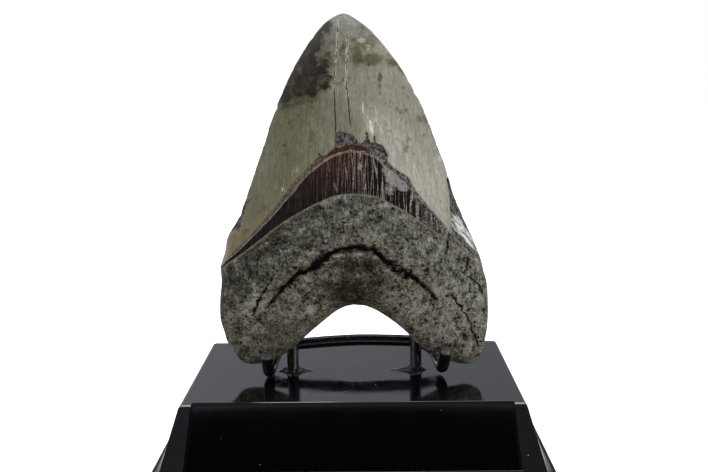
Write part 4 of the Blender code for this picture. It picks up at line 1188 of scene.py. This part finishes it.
def make_tooth_mesh():
    """The fossil in one closed mesh, with its fields stored at each point."""
    shape = ToothShape()
    points, faces, stored = [], [], []
    count = 0
    for columns, is_front in ((FRONT_COLUMNS, True), (BACK_COLUMNS, False)):
        numbers = []
        for group in tooth_rows(columns):
            world, fields = face_data(shape, group, is_front)
            points.append(world)
            stored.append(fields)
            numbers.append(np.arange(count, count + len(world)).reshape(len(group), -1))
            count += len(world)
        body, left, right = numbers
        right = right[:, ::-1]
        for upper, lower in zip(body, body[1:]):
            add_sheet(faces, upper, lower, is_front)
        for upper, lower in zip([body[-1][:columns + 1]] + list(left), left):
            add_sheet(faces, upper, lower, is_front)
        for upper, lower in zip([body[-1][columns:]] + list(right), right):
            add_sheet(faces, upper, lower, is_front)
    mesh = bpy.data.meshes.new("tooth_surface")
    mesh.from_pydata(np.vstack(points).tolist(), [], faces)
    for name in stored[0]:
        values = np.vstack([fields[name] for fields in stored]).astype(np.float32)
        mesh.attributes.new(name, "FLOAT_VECTOR", "POINT").data.foreach_set("vector", values.ravel())
    bm = bmesh.new()
    bm.from_mesh(mesh)
    bmesh.ops.remove_doubles(bm, verts=bm.verts, dist=0.000001)
    bmesh.ops.recalc_face_normals(bm, faces=bm.faces)
    bm.to_mesh(mesh)
    bm.free()
    mesh.shade_smooth()
    return mesh


# Block and plate

def corner_curve(before, corner, after, reach, steps=4):
    """Points of a small rounding that replaces one corner of an outline."""
    before, corner, after = (np.array(p) for p in (before, corner, after))
    start = corner + (before - corner) / np.linalg.norm(before - corner) * reach
    end = corner + (after - corner) / np.linalg.norm(after - corner) * reach
    t = np.linspace(0.0, 1.0, steps + 1)[:, None]
    return [tuple(p) for p in (1 - t) ** 2 * start + 2 * t * (1 - t) * corner + t ** 2 * end]


def block_outline(drop, outset):
    """Outline of the block at a drop below its top, moved out by an amount, all round from the front."""
    flare = SIDE_LEAN * drop + COVE_WIDTH * (1.0 - math.sqrt(1.0 - (drop / COVE_HEIGHT) ** 2))
    half = TOP_HALF_WIDTH + flare + outset
    front = -drop * math.tan(FRONT_TILT) - (outset if outset > 0.0 else outset * FRONT_ROUND_SHARE)
    back = TOP_DEPTH + flare + outset
    flat_half = TOP_HALF_WIDTH - FRONT_CORNER_IN + FRONT_EDGE_FLARE * drop + outset
    chamfer = FRONT_CHAMFER + FRONT_CHAMFER_GROWTH * drop
    radius = BACK_CORNER_RADIUS + BACK_CORNER_GROWTH * drop
    inner, outer = (flat_half, front), (half, front + chamfer)
    right = corner_curve((0.0, front), inner, outer, FRONT_CORNER_ROUND)
    right += corner_curve(inner, outer, (half, back), FRONT_CORNER_ROUND)
    steps = 10
    for k in range(steps + 1):
        angle = math.pi / 2.0 * k / steps
        right.append((half - radius + radius * math.cos(angle), back - radius + radius * math.sin(angle)))
    return right + [(-x, y) for x, y in right[::-1]]


def block_levels(edge_round):
    """Levels from the top down: place on the cove, extra drop, and how far the outline stands out."""
    turns = np.linspace(0.0, math.pi / 2.0, 6)
    levels = [(edge_round * (1 - math.cos(a)), 0.0, -edge_round * (1 - math.sin(a))) for a in turns]
    levels += [(drop, 0.0, 0.0) for drop in np.linspace(edge_round, COVE_END, 30)[1:]]
    levels += [(COVE_END, LIP_ROUND * (1 - math.cos(a)), LIP_STEP - LIP_ROUND * (1 - math.sin(a)))
               for a in turns]
    below = BLOCK_HEIGHT - COVE_END
    levels += [(COVE_END, below - LIP_BEVEL, LIP_STEP), (COVE_END, below, LIP_STEP - LIP_BEVEL)]
    return levels


def slope_matrix():
    """Frame on the sloping front: X across, Y down the slope, Z outwards, in metres."""
    down = Vector((0.0, -math.sin(FRONT_TILT), -math.cos(FRONT_TILT)))
    out = Vector((0.0, -math.cos(FRONT_TILT), math.sin(FRONT_TILT)))
    turn = Matrix((down.cross(out), down, out)).transposed().to_4x4()
    return Matrix.Translation(place(0.0, 0.0, 0.0)) @ turn


def slope_box(bm, half_width, start, end, low, high):
    """Adds a box on the sloping front, given in that slope's own frame."""
    size = Vector((2.0 * half_width, end - start, high - low)) * MM
    centre = Vector((0.0, (start + end) / 2.0, (low + high) / 2.0)) * MM
    matrix = slope_matrix() @ Matrix.Translation(centre) @ Matrix.Diagonal((*size, 1.0))
    return bmesh.ops.create_cube(bm, size=1.0, matrix=matrix)["verts"]


def make_block_mesh(settings):
    """Moulded block: flat top, coved sides and back, sloping front with the plate's recess."""
    edge_round = settings.edge_round / MM
    recess_depth = settings.recess_depth / MM
    points = []
    for cove, extra, out in block_levels(edge_round):
        points += [place(x, y, -cove - extra) for x, y in block_outline(cove, out)]
    count = len(block_outline(0.0, 0.0))
    faces = tube_faces(len(points) // count, count)
    faces.append(list(range(count)))
    faces.append([len(points) - count + k for k in range(count)][::-1])
    mesh = bpy.data.meshes.new("block_shell")
    mesh.from_pydata(points, [], faces)
    shell = new_object("block_shell", mesh, [])
    cutter_mesh = bpy.data.meshes.new("recess_cut")
    bm = bmesh.new()
    slope_box(bm, RECESS_HALF_WIDTH, RECESS_START, RECESS_END, -recess_depth, 4.0)
    bm.to_mesh(cutter_mesh)
    bm.free()
    cutter = new_object("recess_cut", cutter_mesh, [])
    cut = shell.modifiers.new("recess", "BOOLEAN")
    cut.operation = "DIFFERENCE"
    cut.solver = "EXACT"
    cut.object = cutter
    result = modified_mesh(shell)
    bpy.data.objects.remove(cutter)
    round_recess(result, recess_depth)
    result.shade_smooth()
    result.set_sharp_from_angle(angle=math.radians(35.0))
    return flat_faces_kept(result)


def flat_faces_kept(mesh):
    """The mesh with normals that follow its large faces, so flats stay flat beside their roundings."""
    item = new_object("block_shell", mesh, [])
    weighted = item.modifiers.new("flat faces", "WEIGHTED_NORMAL")
    weighted.keep_sharp = True
    return modified_mesh(item)


def round_recess(mesh, recess_depth):
    """Rounds the recess's own edges, as the mould leaves them."""
    inverse = slope_matrix().inverted()
    margin = 0.05
    top_level = place(0.0, 0.0, 0.0).z
    bm = bmesh.new()
    bm.from_mesh(mesh)

    def edges_of_recess(least_angle, at_mouth):
        """The recess's edges, with or without the long one where its floor meets the block's top."""
        chosen = []
        for edge in bm.edges:
            if len(edge.link_faces) != 2 or edge.calc_face_angle(0.0) < math.radians(least_angle):
                continue
            spots = [inverse @ vert.co / MM for vert in edge.verts]
            inside = all(abs(s.x) < RECESS_HALF_WIDTH + margin and RECESS_START - margin < s.y
                         < RECESS_END + margin and -recess_depth - margin < s.z < margin for s in spots)
            is_mouth = all(abs(vert.co.z - top_level) < margin * MM for vert in edge.verts) and all(
                abs(s.z + recess_depth) < margin for s in spots)
            if inside and is_mouth == at_mouth:
                chosen.append(edge)
        return chosen

    for least_angle, at_mouth, reach in ((30.0, True, MOUTH_ROUND), (60.0, False, RECESS_ROUND)):
        bmesh.ops.bevel(bm, geom=edges_of_recess(least_angle, at_mouth), offset=reach * MM,
                        offset_type="OFFSET", segments=4, profile=0.5, affect="EDGES", clamp_overlap=False)
    bm.to_mesh(mesh)
    bm.free()


# Rods and adhesive

def rod_mesh(name, route, radius, closed_ends):
    """A bent rod swept along a smooth route, with rounded rims and separate cut faces at its ends."""
    rim = [(ROD_RIM * (1 - math.sin(a)), ROD_RIM * math.cos(a))
           for a in np.linspace(0.0, math.pi / 2.0, RIM_STEPS)]
    turn = np.linspace(0.0, 2.0 * math.pi, ROD_SIDES, endpoint=False)[:, None]
    line = smooth_line(route)
    length = np.linalg.norm(np.diff(line, axis=0), axis=1).sum()
    centres = along(line, np.linspace(0.0, 1.0, int(length / ROD_STEP) + 1))
    ways = np.gradient(centres, axis=0)
    ways /= np.linalg.norm(ways, axis=1)[:, None]
    side = np.cross(ways[0], [0.3, 0.2, 1.0])
    rings = []
    for k, (centre, way) in enumerate(zip(centres, ways)):
        side = side - np.dot(side, way) * way
        side /= np.linalg.norm(side)
        other = np.cross(way, side)
        steps = [(0.0, 0.0)]
        if k == 0:
            steps = [(shrink, -shift) for shrink, shift in rim]
        elif k == len(centres) - 1:
            steps = rim[::-1]
        for shrink, shift in steps:
            ring = centre + way * shift + (radius - shrink) * (np.cos(turn) * side + np.sin(turn) * other)
            rings.append(ring)
    points = [place(*p) for p in np.vstack(rings)]
    faces = [[a, *rest[::-1]] for a, *rest in tube_faces(len(rings), ROD_SIDES)]
    finishes = [0] * len(faces)
    for first, flip in ((0, True), ((len(rings) - 1) * ROD_SIDES, False)):
        cap = list(range(first, first + ROD_SIDES))
        faces.append(cap[::-1] if flip else cap)
        finishes.append(1 if closed_ends else 0)
    mesh = bpy.data.meshes.new(name)
    mesh.from_pydata(points, [], faces)
    mesh.polygons.foreach_set("material_index", finishes)
    mesh.shade_smooth()
    mesh.set_sharp_from_angle(angle=math.radians(50.0))
    return mesh


def support_route():
    """Rod loop that stands in the block and holds the tooth's back."""
    rise = math.tan(POST_LEAN)
    foot = FOOT_DEPTH * math.cos(POST_LEAN)
    bend_height, top_height, corner = 54.0, 72.5, 9.0
    bend_y = POST_Y + bend_height * rise
    top_y = bend_y + 4.6
    left = [(LEFT_POST_X, POST_Y - foot * rise, -foot), (LEFT_POST_X, POST_Y + 14.0 * rise, 14.0),
            (LEFT_POST_X, POST_Y + 34.0 * rise, 34.0), (LEFT_POST_X, bend_y, bend_height),
            (LEFT_POST_X + 0.4, bend_y + 2.6, top_height - corner),
            (LEFT_POST_X + 3.0, top_y - 0.7, top_height - 3.0)]
    middle = [(LEFT_POST_X + corner, top_y, top_height), (RIGHT_POST_X - corner, top_y, top_height)]
    right = [(LEFT_POST_X + RIGHT_POST_X - x, y, z) for x, y, z in left[::-1]]
    return left + middle + right


def glue_mesh(name, centre_x, reaches, radius):
    """Thin run of adhesive round one post's foot, drawn out to a point at each side."""
    reach_left, reach_right, reach_front, reach_back = reaches
    points = []
    for ring in range(GLUE_RINGS + 1):
        share = ring / GLUE_RINGS
        for k in range(GLUE_SIDES):
            angle = 2.0 * math.pi * k / GLUE_SIDES
            c, s = math.cos(angle), math.sin(angle)
            across = reach_right if c > 0.0 else reach_left
            along_y = reach_back if s > 0.0 else reach_front
            wave = 1.0 + 0.05 * math.sin(3.0 * angle + centre_x) + 0.04 * math.sin(7.0 * angle)
            power = GLUE_POINT_POWER
            edge = (abs(c / across) ** power + abs(s / along_y) ** power) ** (-1.0 / power)
            outer = max(wave * edge, radius + 0.5)
            distance = radius - 0.2 + share * (outer - radius + 0.2)
            rise = GLUE_HEIGHT * (1.0 - share) ** 2.6 + GLUE_EDGE_HEIGHT * (1.0 - share ** 3)
            y = POST_Y + rise * math.tan(POST_LEAN) * (1.0 - share)
            points.append(place(centre_x + distance * c, y + distance * s, rise + 0.02))
    mesh = bpy.data.meshes.new(name)
    mesh.from_pydata(points, [], tube_faces(GLUE_RINGS + 1, GLUE_SIDES))
    mesh.shade_smooth()
    return mesh


# Settings a user may change

def colour_setting(name, description, hex_colour):
    return bpy.props.FloatVectorProperty(name=name, description=description, subtype="COLOR", size=4,
                                         min=0.0, max=1.0, default=linear(hex_colour))


class FossilToothSettings(bpy.types.PropertyGroup):
    """Colours of the fossil; the two darker ones also carry painted shade."""
    enamel: colour_setting("Enamel", "Enamel on the right half of the crown", "#7b786b")
    # Left half of the crown: enamel tone with painted shade, for light from the right.
    enamel_tone_and_painted_shade: colour_setting("Enamel with painted shade", "Enamel on the left half of the crown", "#575440")
    bourlette: colour_setting("Bourlette", "Dark band between crown and root", "#0b0706")
    root: colour_setting("Root", "Paler parts of the root", "#5e5d53")
    # Dark root: the root's darker tone with painted shade, for light from the right.
    root_tone_and_painted_shade: colour_setting("Dark root and painted shade", "Darker parts of the root", "#38372f")


class DisplayStandSettings(bpy.types.PropertyGroup):
    """Colours and sizes of the stand."""
    block: colour_setting("Block", "Moulded block", "#08080a")
    plate: colour_setting("Plate", "Bare name plate", "#020202")
    rod: colour_setting("Rod", "Painted rod", "#060607")
    glue: colour_setting("Adhesive", "Adhesive round the posts", "#131416")
    rod_diameter: bpy.props.FloatProperty(name="Rod diameter", description="Thickness of the bent rods",
                                          unit="LENGTH", default=4.7 * MM, min=3.0 * MM, max=6.0 * MM)
    edge_round: bpy.props.FloatProperty(name="Edge rounding", description="Rounding of the block's top edge",
                                        unit="LENGTH", default=1.2 * MM, min=0.4 * MM, max=1.5 * MM)
    recess_depth: bpy.props.FloatProperty(name="Recess depth", description="Depth of the plate's recess",
                                          unit="LENGTH", default=1.5 * MM, min=1.0 * MM, max=2.5 * MM)


class PhotoStageSettings(bpy.types.PropertyGroup):
    """Floor, lights and lens."""
    floor: colour_setting("Floor", "Plain pale floor", "#f4f4f3")
    floor_glow: bpy.props.FloatProperty(name="Floor glow", description="Light that comes through the floor",
                                        default=0.7, min=0.0, max=2.0)
    key_power: bpy.props.FloatProperty(name="Key light", description="Power of the soft light on the right",
                                       unit="POWER", default=3.4, min=0.0)
    fill_power: bpy.props.FloatProperty(name="Fill light", description="Power of the soft light on the left",
                                        unit="POWER", default=1.2, min=0.0)
    lens: bpy.props.FloatProperty(name="Lens", description="Focal length of the camera in millimetres",
                                  unit="CAMERA", default=44.75, min=20.0, max=200.0)


# Operators

class FOSSIL_OT_tooth(bpy.types.Operator):
    """Build the fossil tooth with its enamel, bourlette and root"""
    bl_idname = "fossil.tooth"
    bl_label = "Tooth"

    def execute(self, context):
        material = make_tooth_material(context.scene.fossil_tooth)
        join_frame(new_object("tooth_surface", make_tooth_mesh(), [material]), "tooth")
        return {"FINISHED"}


class FOSSIL_OT_block(bpy.types.Operator):
    """Build the moulded block with its coved sides and sloping front"""
    bl_idname = "fossil.block"
    bl_label = "Block"

    def execute(self, context):
        settings = context.scene.display_stand
        mesh = make_block_mesh(settings)
        join_frame(new_object("moulded_block", mesh, [make_block_material(settings)]), "base")
        return {"FINISHED"}


class FOSSIL_OT_plate(bpy.types.Operator):
    """Build the bare name plate in its recess"""
    bl_idname = "fossil.plate"
    bl_label = "Name plate"

    def execute(self, context):
        settings = context.scene.display_stand
        floor = -settings.recess_depth / MM + PLATE_GAP
        mesh = bpy.data.meshes.new("bare_plate")
        bm = bmesh.new()
        slope_box(bm, PLATE_HALF_WIDTH, PLATE_START, PLATE_END, floor, floor + PLATE_THICK)
        bmesh.ops.bevel(bm, geom=bm.edges[:], offset=0.3 * MM, segments=3, profile=0.5, affect="EDGES")
        bmesh.ops.recalc_face_normals(bm, faces=bm.faces)
        bm.to_mesh(mesh)
        bm.free()
        mesh.shade_smooth()
        mesh.set_sharp_from_angle(angle=math.radians(40.0))
        join_frame(new_object("bare_plate", mesh, [make_plate_material(settings)]), "name_plate")
        return {"FINISHED"}


class FOSSIL_OT_rods(bpy.types.Operator):
    """Build the bent rod cradle and the rod loop behind the tooth"""
    bl_idname = "fossil.rods"
    bl_label = "Rods"

    def execute(self, context):
        settings = context.scene.display_stand
        radius = settings.rod_diameter / 2.0 / MM
        finishes = [make_rod_material(settings), make_rod_end_material()]
        cradle = rod_mesh("bent_cradle", CRADLE_ROUTE, radius, True)
        join_frame(new_object("bent_cradle", cradle, finishes), "cradle_bar")
        support = rod_mesh("bent_support", support_route(), radius, False)
        join_frame(new_object("bent_support", support, finishes), "back_support")
        return {"FINISHED"}


class FOSSIL_OT_adhesive(bpy.types.Operator):
    """Build the set adhesive round the foot of each post"""
    bl_idname = "fossil.adhesive"
    bl_label = "Adhesive"

    def execute(self, context):
        settings = context.scene.display_stand
        radius = settings.rod_diameter / 2.0 / MM
        material = make_glue_material(settings)
        left = glue_mesh("left_adhesive", LEFT_POST_X, LEFT_GLUE_REACHES, radius)
        join_frame(new_object("left_adhesive", left, [material]), "left_post_glue")
        right = glue_mesh("right_adhesive", RIGHT_POST_X, RIGHT_GLUE_REACHES, radius)
        join_frame(new_object("right_adhesive", right, [material]), "right_post_glue")
        return {"FINISHED"}


def make_floor(settings):
    """Plain pale floor under the stand."""
    half = 3.0
    mesh = bpy.data.meshes.new("studio_floor")
    mesh.from_pydata([(-half, -half, 0.0), (half, -half, 0.0), (half, half, 0.0), (-half, half, 0.0)], [],
                     [[0, 1, 2, 3]])
    material, tree, surface = new_material("matt paper floor, pale", {
        "Base Color": settings.floor, "Specular IOR Level": 0.1,
        "Emission Color": settings.floor, "Emission Strength": settings.floor_glow})
    grain = noise(tree, add(tree, "TexCoord", {}, output=3), 900.0, 2.0)
    tree.links.new(even_range(tree, grain, 0.0, 1.0, 0.85, 0.95), surface.inputs["Roughness"])
    new_object("studio_floor", mesh, [material])


def make_surround():
    """Studio: pale backdrop behind, dark room in front, and a strip lamp over the tooth.

    Seen directly it is plain white.
    """
    world = bpy.data.worlds.new("studio surround")
    bpy.context.scene.world = world
    world.use_nodes = True
    tree = world.node_tree
    way = add(tree, "TexCoord", {})
    across, behind, rise = (add(tree, "SeparateXYZ", {0: way}, output=k) for k in range(3))
    ramp = add(tree, "ValToRGB", {0: rise})
    elements = ramp.node.color_ramp.elements
    for position, _ in ROOM_BRIGHTNESS[1:-1]:
        elements.new(position)
    for element, (position, value) in zip(elements, ROOM_BRIGHTNESS):
        element.position = position
        element.color = (*(value * part for part in ROOM_TINT), 1.0)
    share = soft_range(tree, behind, -0.3, 0.4, at_low=0.3)
    share = multiply(tree, share, even_range(tree, across, -0.6, 0.6, 1.4, 0.6))
    studio = shaded(tree, ramp, share)
    lamp = soft_range(tree, rise, 0.4, 0.6)
    for value, far, near in ((calculate(tree, "ABSOLUTE", across), 0.62, 0.5),
                             (behind, -0.02, 0.05), (behind, 0.42, 0.32)):
        lamp = multiply(tree, lamp, soft_range(tree, value, far, near))
    lamp = blend(tree, lamp, (0.0, 0.0, 0.0, 1.0), LAMP_COLOUR)
    studio = blend(tree, 1.0, studio, lamp, blend_type="ADD")
    colour = blend(tree, add(tree, "LightPath", {}), studio, (1.0, 1.0, 1.0, 1.0))
    tree.links.new(colour, tree.nodes["Background"].inputs["Color"])


def make_soft_light(name, at, size, power):
    light = bpy.data.lights.new(name, "AREA")
    light.shape = "RECTANGLE"
    light.size, light.size_y = size
    light.energy = power
    item = bpy.data.objects.new(name, light)
    bpy.context.scene.collection.objects.link(item)
    item.location = at
    item.rotation_euler = (LIGHT_TARGET - Vector(at)).to_track_quat("-Z", "Y").to_euler()


def make_camera(settings):
    """Camera at the photograph's viewing angle."""
    camera = bpy.data.cameras.new("photo_camera")
    camera.sensor_width = SENSOR_WIDTH
    camera.lens = settings.lens
    camera.clip_start = 0.01
    item = bpy.data.objects.new("photo_camera", camera)
    bpy.context.scene.collection.objects.link(item)
    yaw, pitch, roll = CAMERA_TURN
    forward = Vector((math.sin(yaw) * math.cos(pitch), math.cos(yaw) * math.cos(pitch), -math.sin(pitch)))
    level = Vector((math.cos(yaw), -math.sin(yaw), 0.0))
    right = level * math.cos(roll) + forward.cross(level) * math.sin(roll)
    down = forward.cross(right)
    turn = Matrix((right, -down, -forward)).transposed().to_4x4()
    item.matrix_world = Matrix.Translation(place(*CAMERA_PLACE)) @ turn
    bpy.context.scene.camera = item


class FOSSIL_OT_stage(bpy.types.Operator):
    """Set the floor, the studio light and the camera"""
    bl_idname = "fossil.stage"
    bl_label = "Stage"

    def execute(self, context):
        settings = context.scene.photo_stage
        make_floor(settings)
        make_surround()
        make_soft_light("key_light", *KEY_LIGHT, settings.key_power)
        make_soft_light("fill_light", *FILL_LIGHT, settings.fill_power)
        make_camera(settings)
        context.scene.view_settings.view_transform = "Standard"
        return {"FINISHED"}


class FOSSIL_PT_sidebar(bpy.types.Panel):
    """Lists the pieces and what may be changed on them"""
    bl_label = "Fossil tooth"
    bl_idname = "FOSSIL_PT_sidebar"
    bl_space_type = "VIEW_3D"
    bl_region_type = "UI"
    bl_category = "Fossil tooth"

    def draw(self, context):
        for name, operators in PANEL_PARTS:
            box = self.layout.box()
            group = getattr(context.scene, name)
            for prop in group.bl_rna.properties:
                if prop.identifier not in ("rna_type", "name"):
                    box.prop(group, prop.identifier)
            for operator in operators:
                box.operator(operator.bl_idname)


PANEL_PARTS = (
    ("fossil_tooth", (FOSSIL_OT_tooth,)),
    ("display_stand", (FOSSIL_OT_block, FOSSIL_OT_plate, FOSSIL_OT_rods, FOSSIL_OT_adhesive)),
    ("photo_stage", (FOSSIL_OT_stage,)),
)
SETTINGS = {
    "fossil_tooth": FossilToothSettings,
    "display_stand": DisplayStandSettings,
    "photo_stage": PhotoStageSettings,
}
CLASSES = (*SETTINGS.values(), FOSSIL_OT_tooth, FOSSIL_OT_block, FOSSIL_OT_plate, FOSSIL_OT_rods,
           FOSSIL_OT_adhesive, FOSSIL_OT_stage, FOSSIL_PT_sidebar)


def register():
    for item in CLASSES:
        bpy.utils.register_class(item)
    for name, group in SETTINGS.items():
        setattr(bpy.types.Scene, name, bpy.props.PointerProperty(type=group))


def unregister():
    for name in SETTINGS:
        delattr(bpy.types.Scene, name)
    for item in reversed(CLASSES):
        bpy.utils.unregister_class(item)


def main():
    register()
    bpy.ops.fossil.tooth()
    bpy.ops.fossil.block()
    bpy.ops.fossil.plate()
    bpy.ops.fossil.rods()
    bpy.ops.fossil.adhesive()
    bpy.ops.fossil.stage()


if __name__ == "__main__":
    main()
